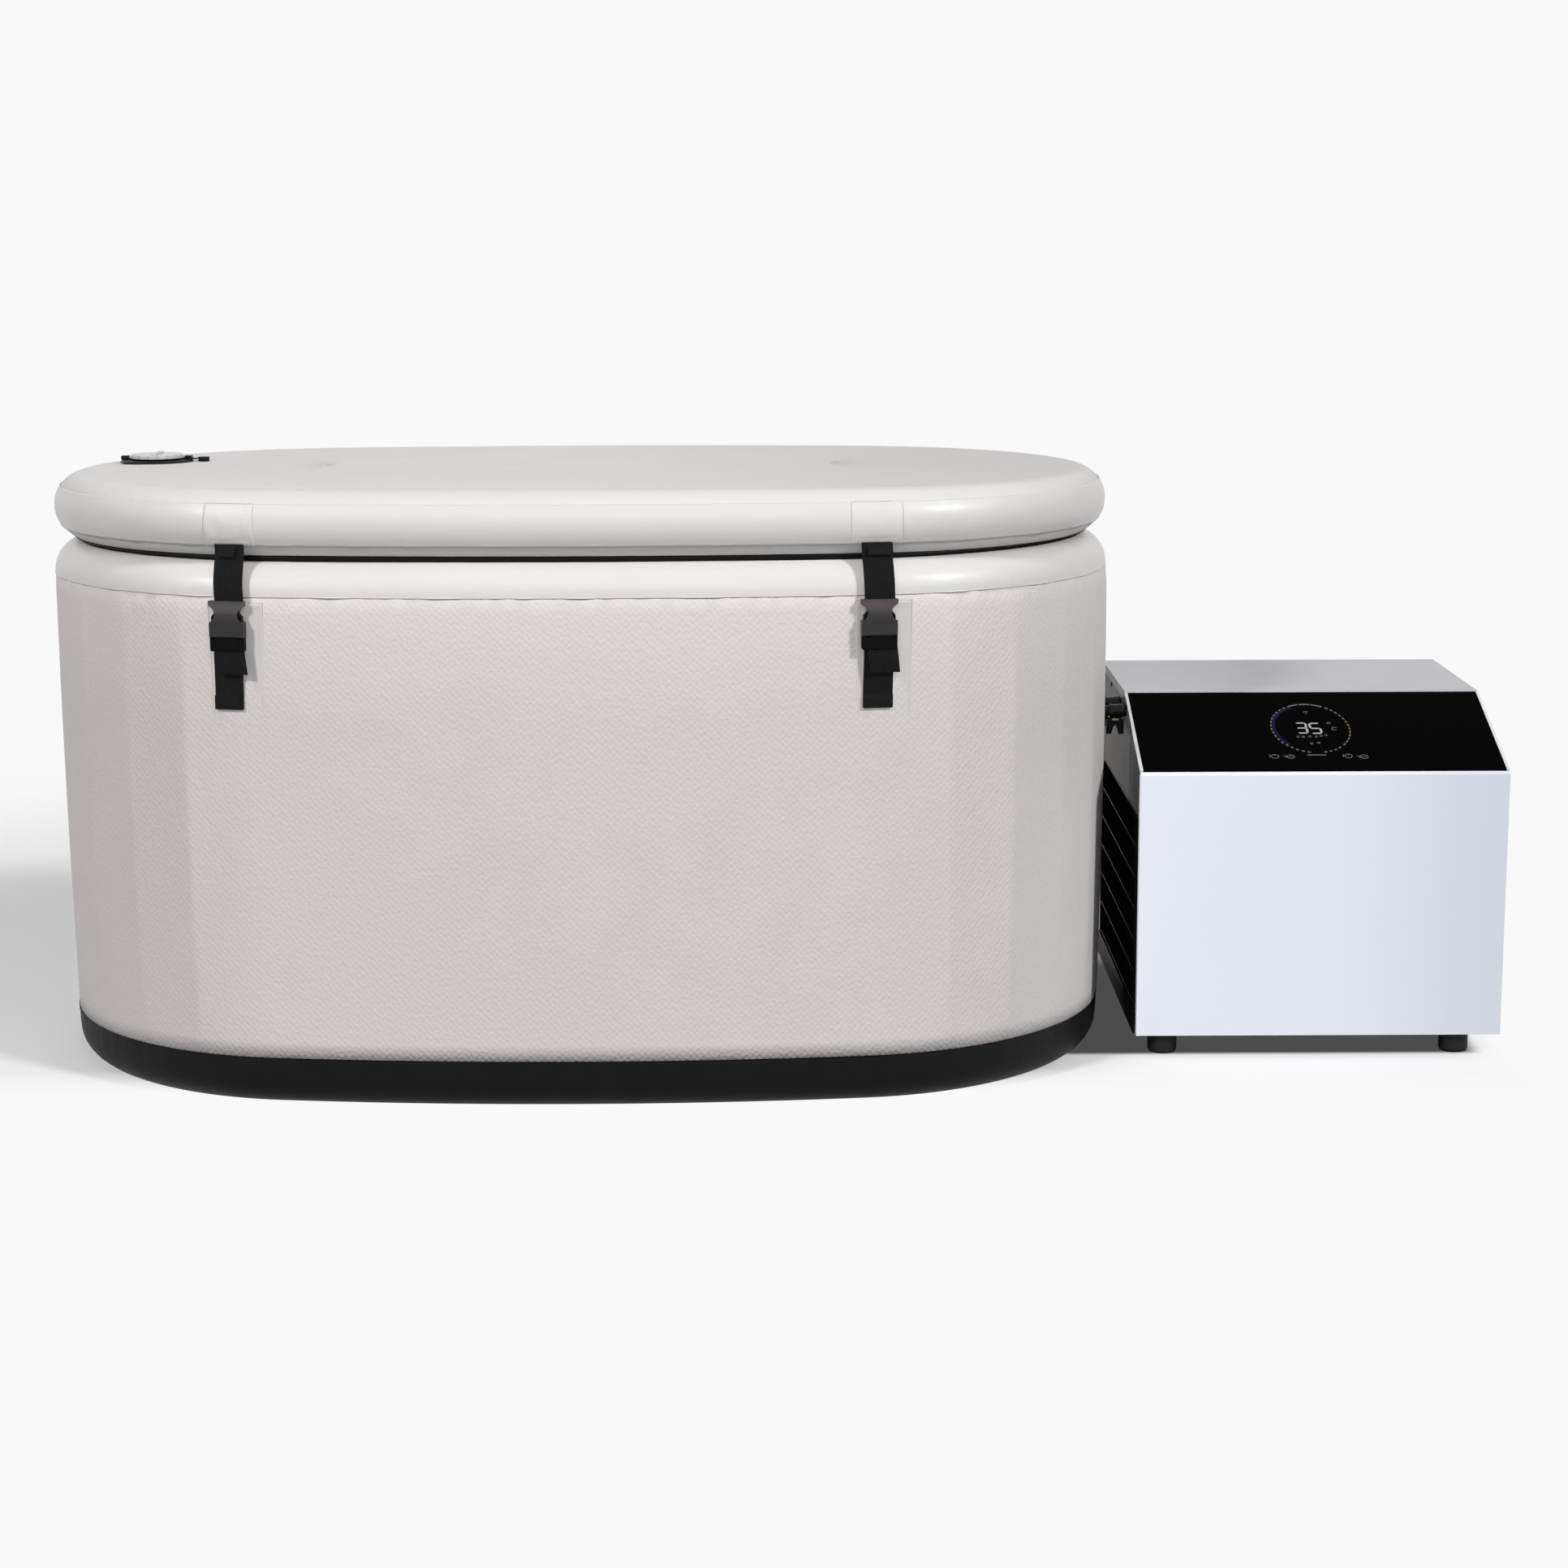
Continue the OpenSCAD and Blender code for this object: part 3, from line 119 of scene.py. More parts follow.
def sun(name, azimuth, height, power, spread, tint=(1, 1, 1)):
    """A broad even light from azimuth degrees right of the front and height degrees up."""
    data = bpy.data.lights.new(name, "SUN")
    data.energy = power
    data.angle = math.radians(spread)
    data.color = tint
    lamp = bpy.data.objects.new(name, data)
    scene.collection.objects.link(lamp)
    a, e = math.radians(azimuth), math.radians(height)
    towards = Vector((math.sin(a) * math.cos(e), -math.cos(a) * math.cos(e), math.sin(e)))
    lamp.rotation_euler = towards.to_track_quat("Z", "Y").to_euler()


sun("key_left", -46, 34, 1.64, 8, (1, .99, .985))
sun("key_right", 53, 33, 1.90, 8, (.99, .995, 1))

box = bpy.data.lights.new("soft_box", "AREA")
box.shape, box.size, box.size_y, box.energy = "RECTANGLE", 1.2, .7, 9
soft_box = bpy.data.objects.new("soft_box", box)
scene.collection.objects.link(soft_box)
soft_box.location = (.10, -2.3, 1.85)
soft_box.rotation_euler = (soft_box.location - Vector((.15, -.3, .55))).to_track_quat("Z", "Y").to_euler()
soft_box.visible_camera = False

floor_mesh = bpy.data.meshes.new("floor")
floor_mesh.from_pydata([(-12, -6, 0), (12, -6, 0), (12, 18, 0), (-12, 18, 0)], [], [(0, 1, 2, 3)])
floor = bpy.data.objects.new("floor", floor_mesh)
scene.collection.objects.link(floor)
ground = bpy.data.materials.new("floor")
ground.use_nodes = True
nt = ground.node_tree
nt.nodes.clear()
out = nt.nodes.new("ShaderNodeOutputMaterial")
near, shown = nt.nodes.new("ShaderNodeMixShader"), nt.nodes.new("ShaderNodeMixShader")
for tone, mix, k in ((.30, shown, 1), (.90, near, 1)):
    pale = nt.nodes.new("ShaderNodeBsdfDiffuse")
    pale.inputs["Color"].default_value = (tone, tone, tone, 1)
    link(nt, pale, "BSDF", mix, k)
where, reach, parts = (nt.nodes.new("ShaderNode" + kind) for kind in ("TexCoord", "VectorMath", "SeparateXYZ"))
reach.operation = "LENGTH"
link(nt, where, "Object", reach, 0)
link(nt, where, "Object", parts, 0)


def step(source, tap, start, stop, keep=None, how="MULTIPLY"):
    """A smooth 0 to 1 from start to stop of a value, joined with an earlier one."""
    rise = nt.nodes.new("ShaderNodeMapRange")
    rise.interpolation_type = "SMOOTHSTEP"
    rise.inputs["From Min"].default_value, rise.inputs["From Max"].default_value = start, stop
    link(nt, source, tap, rise, "Value")
    if keep is None:
        return rise, "Result"
    both = nt.nodes.new("ShaderNodeMath")
    both.operation = how
    link(nt, rise, "Result", both, 0)
    link(nt, *keep, both, 1)
    return both, 0


# Away from the tub, in front of it and right of the chiller the floor fades into the backdrop's own tone.
away = step(reach, "Value", 1.3, 2.6)
away[0].inputs["To Min"].default_value = .30
away = step(parts, "X", 1.20, 1.33, away, "MAXIMUM")
away = step(parts, "Y", -.13, -.34, away, "MAXIMUM")
# Under the chiller the floor shows a painted shadow: a flat dark tone with soft edges, where no light comes in.
under = step(parts, "X", .60, .66)
under = step(parts, "X", 1.296, 1.258, under)
under = step(parts, "Y", -.150, -.130, under)
under = step(parts, "Y", .50, .36, under)
gap = nt.nodes.new("ShaderNodeMixShader")
for tone, mix in ((BACKDROP, near), (PAINTED_SHADOW_TONE, gap)):
    glow = nt.nodes.new("ShaderNodeEmission")
    glow.inputs["Color"].default_value = srgb(tone, tone, tone)
    link(nt, glow, "Emission", mix, 2)
link(nt, *away, near, "Fac")
link(nt, *under, gap, "Fac")
link(nt, near, "Shader", gap, 1)
link(nt, gap, "Shader", shown, 2)
link(nt, *seen(nt), shown, "Fac")
link(nt, shown, "Shader", out, "Surface")
floor_mesh.materials.append(ground)

# Wear sheet and side band
# A black rubbery sheet welded under the tub and turned up its side as a band 69 mm high. Its top edge is
# a flat weld with a slight lip, and it puckers a little where it goes round the ends.

END_R, END_C, SIDE_R, SIDE_C = .398, .352, 3.225, 2.805
WALL_T, TUB_H, RIM_Z, SEAM_Z = .100, .744, .699, .697
CORNER = math.atan2(SIDE_C, END_C)
ARC_TURN = np.array([-CORNER, CORNER, math.pi - CORNER, math.pi + CORNER, 2 * math.pi - CORNER])
ARC_R = np.array([END_R, SIDE_R, END_R, SIDE_R])
ARC_CENTRE = np.array([[END_C, 0], [0, -SIDE_C], [-END_C, 0], [0, SIDE_C]])
ARC_ALONG = np.concatenate([[0], np.cumsum(np.diff(ARC_TURN) * ARC_R)])
CORE = -.394  # how far in from the plan line a panel's flat face closes on its middle line


def oval(count, start=None, stop=None):
    """Walks the plan, four arcs that share their ends: radius END_R about (+-END_C, 0) and SIDE_R about
    (0, -+SIDE_C). Returns the distance along, the angle of the outward normal, the arc's centre and radius,
    for count places, all round, or from start to stop along it."""
    if start is None:
        s = ARC_ALONG[1] / 2 + np.arange(count) / count * ARC_ALONG[-1]
    else:
        s = np.linspace(start, stop, count)
    t = s % ARC_ALONG[-1]
    part = np.clip(np.searchsorted(ARC_ALONG, t, side="right") - 1, 0, 3)
    return s, np.interp(t, ARC_ALONG, ARC_TURN), ARC_CENTRE[part], ARC_R[part]


def along_at(angle):
    """Distance along the plan at which the outward normal has that angle."""
    return float(np.interp((angle + CORNER) % (2 * math.pi) - CORNER, ARC_TURN, ARC_ALONG))


def weld(mesh):
    """Merges doubled points, which closes seams and poles."""
    bm = bmesh.new()
    bm.from_mesh(mesh)
    bmesh.ops.remove_doubles(bm, verts=bm.verts, dist=2e-6)
    bm.to_mesh(mesh)
    bm.free()
    mesh.validate()


def grid(name, points, uv, round_u, round_v, flip=False):
    """A mesh of quads through a grid of points (rows, columns, 3) with UVs in metres. Doubled points weld."""
    m, n = points.shape[:2]
    i, j = np.meshgrid(np.arange(m if round_u else m - 1), np.arange(n if round_v else n - 1), indexing="ij")
    i, j = i.ravel(), j.ravel()
    i2, j2 = (i + 1) % m, (j + 1) % n
    quads = np.stack([i * n + j, i2 * n + j, i2 * n + j2, i * n + j2], 1)
    uvs = np.stack([uv[i, j], uv[i + 1, j], uv[i + 1, j + 1], uv[i, j + 1]], 1)
    if flip:
        quads, uvs = quads[:, ::-1], uvs[:, ::-1]
    mesh = bpy.data.meshes.new(name)
    mesh.vertices.add(m * n)
    mesh.vertices.foreach_set("co", points.reshape(-1).astype(np.float32))
    mesh.loops.add(quads.size)
    mesh.loops.foreach_set("vertex_index", quads.reshape(-1).astype(np.int32))
    mesh.polygons.add(len(quads))
    mesh.polygons.foreach_set("loop_start", np.arange(0, quads.size, 4, dtype=np.int32))
    mesh.polygons.foreach_set("use_smooth", np.ones(len(quads), bool))
    layer = mesh.uv_layers.new(name="UVMap")
    layer.data.foreach_set("uv", uvs.reshape(-1).astype(np.float32))
    mesh.update(calc_edges=True)
    weld(mesh)
    obj = bpy.data.objects.new(name, mesh)
    scene.collection.objects.link(obj)
    return obj


def skin(name, count, out, z, closed=True, start=None, stop=None, flip=False):
    """Carries a profile round the plan: out is its distance outwards from the plan line and z its height,
    each with one value per profile point, or one row per place round the plan."""
    s, turn, centre, radius = oval(count, start, stop)
    out = np.broadcast_to(out, (count, np.shape(out)[-1]))
    z = np.broadcast_to(z, (count, np.shape(z)[-1]))
    x = centre[:, :1] + (radius[:, None] + out) * np.cos(turn)[:, None]
    y = centre[:, 1:] + (radius[:, None] + out) * np.sin(turn)[:, None]
    y = np.where(out < CORE + .0005, 0, y)  # the innermost ring closes on the long middle line
    ring = start is None
    step = np.hypot(np.diff(out.mean(0)), np.diff(z.mean(0)))
    v = np.concatenate([[0], np.cumsum(step)])
    u = np.append(s, s[0] + ARC_ALONG[-1]) if ring else s
    if closed:
        v = np.append(v, v[-1] + math.hypot(out[0, -1] - out[0, 0], z[0, -1] - z[0, 0]))
    uv = np.stack(np.meshgrid(u, v, indexing="ij"), -1)
    return grid(name, np.stack([x, y, z], -1), uv, ring, closed, flip)


def ripple(s, seed, waves):
    """A smooth wave that closes on itself round the plan: a sum of whole numbers of waves, seeded phases."""
    rng = np.random.default_rng(seed)
    turns = 2 * np.pi * s / ARC_ALONG[-1]
    return sum(rng.uniform(.5, 1) * np.sin(k * turns + rng.uniform(0, 6.3)) for k in waves) / len(waves)


def lean(z):
    """How far the wall stands in from the rim at a height: it narrows evenly towards the foot."""
    return .006 * (1 - np.asarray(z) / RIM_Z)


def material(name, colour, rough, mottle=.04, size=.05, second=None, metal=0, specular=.5, coat=0, coat_rough=.1,
             sheen=0, grain=(), rough_vary=.06, emit=0):
    """A finished surface: the base colour varies by mottle in patches of that size (metres), the roughness
    by rough_vary, and each grain (kind, size, height, coordinates) adds a bump."""
    mat = bpy.data.materials.new(name)
    mat.use_nodes = True
    nt = mat.node_tree
    bsdf = nt.nodes["Principled BSDF"]
    where = nt.nodes.new("ShaderNodeTexCoord")
    patch = nt.nodes.new("ShaderNodeTexNoise")
    patch.inputs["Scale"].default_value = 1 / size
    patch.inputs["Detail"].default_value = 4
    link(nt, where, "Object", patch, "Vector")
    ramp = nt.nodes.new("ShaderNodeValToRGB")
    base = np.array(srgb(*colour)[:3])
    dark = base * (1 - mottle) if second is None else np.array(srgb(*second)[:3])
    ramp.color_ramp.elements[0].position, ramp.color_ramp.elements[1].position = .3, .7
    ramp.color_ramp.elements[0].color = (*dark, 1)
    ramp.color_ramp.elements[1].color = (*np.clip(base * (1 + mottle * .5), 0, 1), 1)
    link(nt, patch, "Fac", ramp, "Fac")
    link(nt, ramp, "Color", bsdf, "Base Color")
    vary = nt.nodes.new("ShaderNodeTexNoise")
    vary.inputs["Scale"].default_value = 2.3 / size
    vary.inputs["Detail"].default_value = 3
    link(nt, where, "Object", vary, "Vector")
    span = nt.nodes.new("ShaderNodeMapRange")
    span.inputs["To Min"].default_value = max(rough - rough_vary, .02)
    span.inputs["To Max"].default_value = min(rough + rough_vary, 1)
    link(nt, vary, "Fac", span, "Value")
    link(nt, span, "Result", bsdf, "Roughness")
    for key, value in (("Metallic", metal), ("Specular IOR Level", specular), ("Coat Weight", coat),
                       ("Coat Roughness", coat_rough), ("Sheen Weight", sheen)):
        bsdf.inputs[key].default_value = value
    if emit:
        bsdf.inputs["Emission Color"].default_value = srgb(*colour)
        bsdf.inputs["Emission Strength"].default_value = emit
    last = None
    for kind, step, height, coordinates in grain:
        if kind == "noise":
            tex = nt.nodes.new("ShaderNodeTexNoise")
            tex.inputs["Detail"].default_value = 2
            tap = "Fac"
        elif kind == "cells":
            tex = nt.nodes.new("ShaderNodeTexVoronoi")
            tex.inputs["Randomness"].default_value = .42
            tap = "Distance"
        else:
            tex = nt.nodes.new("ShaderNodeTexWave")
            tex.bands_direction = kind
            tex.inputs["Distortion"].default_value = .6
            tap = "Fac"
        tex.inputs["Scale"].default_value = (1 if kind in ("noise", "cells") else .314) / step
        turned = nt.nodes.new("ShaderNodeMapping")  # the pebbles stand in diamonds, not in rows
        turned.inputs["Rotation"].default_value = (0, 0, math.pi / 4 if kind == "cells" else 0)
        link(nt, where, coordinates, turned, "Vector")
        link(nt, turned, "Vector", tex, "Vector")
        bump = nt.nodes.new("ShaderNodeBump")
        bump.inputs["Distance"].default_value = height
        bump.inputs["Strength"].default_value = 1
        link(nt, tex, tap, bump, "Height")
        if last:
            link(nt, last, "Normal", bump, "Normal")
        last = bump
    if last:
        link(nt, last, "Normal", bsdf, "Normal")
    return mat


def zone(mat, axis, start, stop, colour):
    """Blends the base colour into another one between two places along an axis, in metres."""
    nt = mat.node_tree
    into = nt.nodes["Principled BSDF"].inputs["Base Color"]
    before = into.links[0].from_socket
    kinds = ("TexCoord", "SeparateXYZ", "MapRange", "Mix")
    where, parts, rise, mix = (nt.nodes.new("ShaderNode" + kind) for kind in kinds)
    mix.data_type = "RGBA"
    rise.interpolation_type = "SMOOTHSTEP"
    rise.inputs["From Min"].default_value, rise.inputs["From Max"].default_value = start, stop
    link(nt, where, "Object", parts, 0)
    link(nt, parts, axis, rise, "Value")
    link(nt, rise, "Result", mix, 0)
    nt.links.new(before, mix.inputs[6])
    mix.inputs[7].default_value = srgb(*colour)
    nt.links.new(mix.outputs[2], into)
    return mat


def dress(obj, mat, body, stands_for=()):
    """Gives a piece its one material, its body and the CAD nodes it stands for."""
    obj.data.materials.append(mat)
    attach(obj, body)
    if stands_for:
        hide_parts(*stands_for)


ROOT = "tub_and_chiller"
BAND_TOP, TOE_R, BAND_ROUND = .069, .040, 720
black_sheet = material("black_sheet", (17, 17, 17), .5, mottle=.18, size=.03, specular=.10,
                       grain=(("noise", .0016, .00012, "Object"), ("noise", .03, .0006, "Object")))

s, turn = oval(BAND_ROUND)[:2]
tight = np.clip((np.abs(np.cos(turn)) - .35) / .65, 0, 1)
pucker = (.0007 + .0011 * tight) * ripple(s, 3, (37, 53, 71, 96, 131))
fall = np.linspace(0, 1, 9)
arc = np.linspace(0, np.pi / 2, 9)
prof_out = np.concatenate([-.0461 + TOE_R * np.sin(arc), -lean(.046 + .023 * fall[1:]), [-.0044, -.0062, -.0062]])
prof_z = np.concatenate([TOE_R - TOE_R * np.cos(arc), .046 + .023 * fall[1:], [BAND_TOP + .0001, .0688, .064]])
rise = np.clip(prof_z / BAND_TOP, 0, 1) ** 2
rise[-3:] = 0
bead = .0009 * np.exp(-((prof_z - .0645) / .0016) ** 2)
bead[-3:] = 0
inner = np.linspace(CORE, -.0461, 16)
o = np.concatenate([inner, prof_out[1:]])
h = np.concatenate([np.zeros(16), prof_z[1:]])
o = o[None, :] + np.concatenate([np.zeros((BAND_ROUND, 16)), pucker[:, None] * rise[None, 1:] + bead[None, 1:]], 1)
band = skin("wear_band", BAND_ROUND, o, h, closed=False)
dress(band, black_sheet, ROOT, ("base_sheet", "base_band"))

# Tub wall
# A ring of drop-stitch fabric, 100 mm thick and pumped hard: two coated sheets held apart by threads, so
# both faces are flat with a fine pebbled grain, and they bend in shallow facets round the tight ends.

wall_fabric = material("wall_fabric", (215, 210, 208), .52, mottle=.022, size=.08, specular=.12,
                       grain=(("cells", .0066, .0006, "UV"), ("noise", .0026, .00016, "Object")))
# Painted light: the wall is painted lighter towards its top, between 0.50 and 0.70 m up.
zone(wall_fabric, "Z", .50, .70, (222, 217, 215))

ROUND = 900  # places round the plan
S, TURN, CENTRE, RADIUS = oval(ROUND)
FACET, FACET_OUT = .258, .0030  # the radians that a facet spans, and how far it is moved out


def facets(turn):
    """How far the flat facets of the tight ends depart from their arc: the chord's distance from the centre,
    R cos(half a facet) / cos(angle from the facet's middle), less R, moved out by FACET_OUT. They fade out
    towards the long sides."""
    off = (turn + np.pi / 2) % np.pi - np.pi / 2
    psi = (off / FACET + .5) % 1 * FACET - FACET / 2
    deep = END_R * (math.cos(FACET / 2) / np.cos(psi) - 1)
    return (deep + FACET_OUT) * np.clip((1.42 - np.abs(off)) / .25, 0, 1)


FOOT_Z, HEAD_Z = .0697, .6965
up = np.linspace(FOOT_Z, HEAD_Z, 30)
mid = np.sin(np.pi * (up - FOOT_Z) / (HEAD_Z - FOOT_Z))
swell = .0012 * mid[None, :] + facets(TURN)[:, None] * mid[None, :] ** .3
swell = swell + .0007 * ripple(S, 11, (3, 5, 8, 13))[:, None] * mid[None, :]
swell = swell + .0005 * ripple(S, 12, (61, 83, 107, 139))[:, None] * np.exp(-(HEAD_Z - up) / .018)[None, :]
outer = -lean(up) - .0009 * np.exp(-(HEAD_Z - up) / .0022) + swell
inside = np.linspace(HEAD_Z, .004, 22)
inner = -WALL_T + .0009 * np.exp(-(HEAD_Z - inside) / .0022) + np.zeros((ROUND, 22))
inner = inner - .0006 * ripple(S, 13, (4, 7, 11))[:, None] * np.sin(np.pi * np.linspace(0, 1, 22))
foot, head = np.tile([-.046, -.0093, -.0092], (ROUND, 1)), np.tile([-.0014, -.0014, -.0986, -.0986], (ROUND, 1))
o = np.concatenate([foot, outer, head, inner], 1)
h = np.concatenate([[.0036, .056, .0692], up, [.6972, .706, .706, .6972], inside])
wall = skin("wall_skin", ROUND, o, h)
dress(wall, wall_fabric, ROOT, ("tub_wall",))

# Rim skin
# A smoother, brighter sheet that rolls over the top of the wall from seam to seam. It puckers along both
# seams, where the round edge is gathered, and a second, fainter weld runs 20 mm above the outer seam.

RIM_SHEET = .0012
rim_fabric = material("rim_fabric", (220, 217, 215), .38, mottle=.015, size=.12, specular=.35, coat=.08,
                      coat_rough=.28,
                      grain=(("noise", .0011, .00005, "Object"), ("noise", .018, .0004, "Object")))

arc = np.linspace(0, np.pi / 2, 14)
rim_r = .045
o = np.concatenate([[0, 0], -rim_r + rim_r * np.cos(arc), [-.050], -WALL_T + rim_r - rim_r * np.sin(arc),
                    [-WALL_T]])
h = np.concatenate([[SEAM_Z, .698], RIM_Z + rim_r * np.sin(arc), [TUB_H], RIM_Z + rim_r * np.cos(arc), [SEAM_Z]])
n_out = np.concatenate([[1, 1], np.cos(arc), [0], -np.sin(arc), [-1]])
n_up = np.concatenate([[0, 0], np.sin(arc), [1], np.cos(arc), [0]])
away = np.abs(h - SEAM_Z)
lift = .0006 * ripple(S, 21, (57, 77, 101, 128, 163))[:, None] * np.exp(-away / .012)[None, :]
lift = lift + .0006 * ripple(S, 22, (2, 4, 7, 11))[:, None] * np.exp(-((h - TUB_H) / .03) ** 2)[None, :]
lift = lift + .0003 * (np.tanh((h - .7175) / .0012) - 1)[None, :] * (o > -.05)[None, :] * 0.5
lift[:, 0] += .0003 + .0011 * np.clip(ripple(S, 23, (24, 33, 47, 61)) * 2.5, 0, 1)  # the edge stands off in places
outer_o, outer_h = o + lift * n_out, h + lift * n_up
inner_o = (o - RIM_SHEET * n_out)[::-1] + np.zeros((ROUND, 1))
inner_h = (h - RIM_SHEET * n_up)[::-1] + np.zeros((ROUND, 1))
rim = skin("rim_skin", ROUND, np.concatenate([outer_o, inner_o], 1), np.concatenate([outer_h, inner_h], 1))
dress(rim, rim_fabric, ROOT, ("rim_cover",))

# Floor inside
# The tub's own floor is a second drop-stitch panel, 50 mm thick, that lies between the walls. Its edge is
# rolled and its top is as flat as the threads hold it.

arc = np.linspace(0, np.pi / 2, 6)
PAD_LOW, PAD_TOP, edge = .0032, .0532, .012
edge_line = -WALL_T - .0003 - edge
o = np.concatenate([[CORE], np.linspace(-.37, edge_line - .004, 18), edge_line + edge * np.sin(arc),
                    edge_line + edge * np.cos(arc), [CORE]])
h = np.concatenate([np.full(19, PAD_TOP), PAD_TOP - edge + edge * np.cos(arc), PAD_LOW + edge - edge * np.sin(arc),
                    [PAD_LOW]])
h = h + .0008 * ripple(S[::3], 31, (3, 5, 9))[:, None] * ((h > .053) & (o > -.36))[None, :]
pad = skin("floor_pad", ROUND // 3, o, h, closed=False, flip=True)
dress(pad, wall_fabric, ROOT, ("tub_floor",))

# Lid
# An inflated drop-stitch lid 94 mm thick with a half-round edge. Top and bottom are flat panels, welded to
# an edge band with a seam above and below it, along which the sheet gathers in fine puckers.

LID_R, LID_MID, LID_LINE = .047, .7913, -.051
LID_BODY = "lid"
lid_fabric = material("lid_fabric", (228, 223, 222), .52, mottle=.02, size=.1, specular=.08,
                      grain=(("cells", .0064, .0004, "UV"), ("noise", .0008, .00007, "Object")))
# Painted light and shade: the lid is painted darker towards its right end, and its flat top lighter than the rounded
# edge below 0.83 m.
zone(lid_fabric, "X", -.10, .80, (212, 207, 206))
zone(lid_fabric, "Z", .8358, .8300, (222, 220, 217))

ARC_ROWS, FLAT_ROWS = 67, 21  # rows over the half-round edge, and on each flat face
theta = np.radians(np.linspace(-90, 90, ARC_ROWS))
low = np.where(np.degrees(theta) < -65.5, LID_R - .0012, LID_R)
flat = np.linspace(-.385, LID_LINE - .004, FLAT_ROWS - 1)
o = np.concatenate([[CORE], flat, LID_LINE + low * np.cos(theta), flat[::-1], [CORE]])
h = np.concatenate([np.full(FLAT_ROWS, LID_MID - LID_R + .0012), LID_MID + low * np.sin(theta),
                    np.full(FLAT_ROWS, LID_MID + LID_R)])
face = np.zeros(len(o))
face[ARC_ROWS + FLAT_ROWS:] = 1
crown = .0012 * ripple(S, 41, (2, 3, 5, 7))[:, None] * (face * np.clip((o + .39) / .1, 0, 1))[None, :]
deg = np.concatenate([np.full(FLAT_ROWS, -90.), np.degrees(theta), np.full(FLAT_ROWS, 90.)])


def at_seams(height, width):
    """A bell across each of the lid's two seams, at height degrees above and below its middle."""
    return (np.exp(-((deg - height) / width) ** 2) + np.exp(-((deg + height) / width) ** 2))[None, :]


gather = .0005 * ripple(S, 42, (67, 89, 117, 149, 181))[:, None] * at_seams(37, 7)
shift = gather - .0007 * at_seams(35.6, 1.6)
past = np.where(o > LID_LINE, (deg - 36) / 54, (o - LID_LINE + .08) / .08)
roll = -.0034 * np.clip(past, 0, 1) ** 1.6 * (deg > 36)
lid = skin("lid_cushion", ROUND, o + shift * np.cos(np.radians(deg)),
           h + shift * np.sin(np.radians(deg)) + crown + roll, closed=False)
dress(lid, lid_fabric, LID_BODY, ("lid_pad",))

# Lid underside
# The lid lies on the rim with a dark sheet, 1 mm thick, whose edge turns up 5 mm at the side and hangs
# down as a narrow hem. It stands in for the shade in the gap: a dark sheet put there as painted shade, the dark
# line that runs right round between the lid and the tub.

SHEET_R = LID_R - .001
theta = np.radians(np.linspace(-90, -66, 13))
hang_x = CENTRE[:, 0] + RADIUS * np.cos(TURN)
hang = .0066 * np.clip((.74 - np.abs(hang_x + .03)) / .34, .08, 1) + .0003 * ripple(S, 47, (19, 31, 47))
reach = np.linspace(-.385, LID_LINE - .004, 12)
o = np.concatenate([[CORE], reach, LID_LINE + LID_R * np.cos(theta),
                    [-.0306, -.0303, -.0297, -.0291, -.0291, -.0300],
                    (LID_LINE + SHEET_R * np.cos(theta))[::-1], reach[::-1], [CORE]])
h = np.concatenate([np.full(13, LID_MID - LID_R), LID_MID + LID_R * np.sin(theta), np.full(6, .7487),
                    (LID_MID + SHEET_R * np.sin(theta))[::-1], np.full(13, LID_MID - SHEET_R)])
down = np.concatenate([np.zeros(26), [.15, .97, 1, .97, .05, -.12], np.zeros(26)])
tuck = .0007 * ripple(S, 46, (31, 43, 59, 83))[:, None] * np.clip((h - .7446) / .004, 0, 1)[None, :]
o, h = o + tuck * .4, h + tuck * .7 - hang[:, None] * down[None, :]
under = skin("lid_underside", ROUND, o, h, closed=False)
dress(under, black_sheet, LID_BODY)

# Lid edge band
# A smooth welded strip 55 mm high that closes the lid's edge. It is one ring with its own thickness, and
# both its edges stand off the lid a little here and there.

theta = np.radians(np.linspace(-34.8, 34.8, 29))
swell = np.cos(theta / theta[-1] * np.pi / 2)[None, :]  # 0 at the strip's edges, 1 halfway up
lift = .0004 * ripple(S, 43, (67, 89, 117, 149, 181))[:, None] * (1 - swell)
lift = lift + .0005 * ripple(S, 44, (5, 9, 14, 23))[:, None] * swell
bead = .0005 * np.exp(-((np.abs(np.degrees(theta)) - 33.2) / 1.0) ** 2)
r_out = .0482 + lift + bead
r_out[:, [0, -1]] += .0008 * np.clip(ripple(S, 45, (26, 37, 49, 67)) * 2.5, 0, 1)[:, None]
r_in = np.full((ROUND, 29), .0473)
o = LID_LINE + np.concatenate([r_out * np.cos(theta), (r_in * np.cos(theta))[:, ::-1]], 1)
h = LID_MID + np.concatenate([r_out * np.sin(theta), (r_in * np.sin(theta))[:, ::-1]], 1)
strip = skin("lid_band", ROUND, o, h)
dress(strip, rim_fabric, LID_BODY, ("lid_edge_band",))

# Patches
# Rectangles of the same smooth sheet, welded over the strap ends: on the lid's edge between its seams, and
# on the wall below the rim. A weld line runs inside each edge.

patch_fabric = material("patch_fabric", (222, 219, 216), .42, mottle=.012, size=.05, specular=.3,
                        grain=(("noise", .0011, .00006, "Object"), ("noise", .011, .0004, "Object")))
# Painted shade: the patches on the wall, below 0.70 m, are painted darker than those on the lid.
zone(patch_fabric, "Z", .74, .70, (209, 206, 204))
STRAPS = {"left": -.442, "right": .412}
PATCH_T, PATCH_ROWS = .0006, 60


def front_turn(x):
    """How far the wall has turned from straight ahead where a strap hangs at x."""
    return math.copysign(math.asin((abs(x) - END_C) / END_R), x)


def strap_frame(x):
    """Places local points (along the wall, out of it negative, up) at a strap, as the CAD does."""
    t = front_turn(x)
    origin = np.array([x, -END_R * math.cos(t), 0])
    turn = np.array([[math.cos(t), -math.sin(t), 0], [math.sin(t), math.cos(t), 0], [0, 0, 1]])
    return lambda points: np.asarray(points) @ turn.T + origin


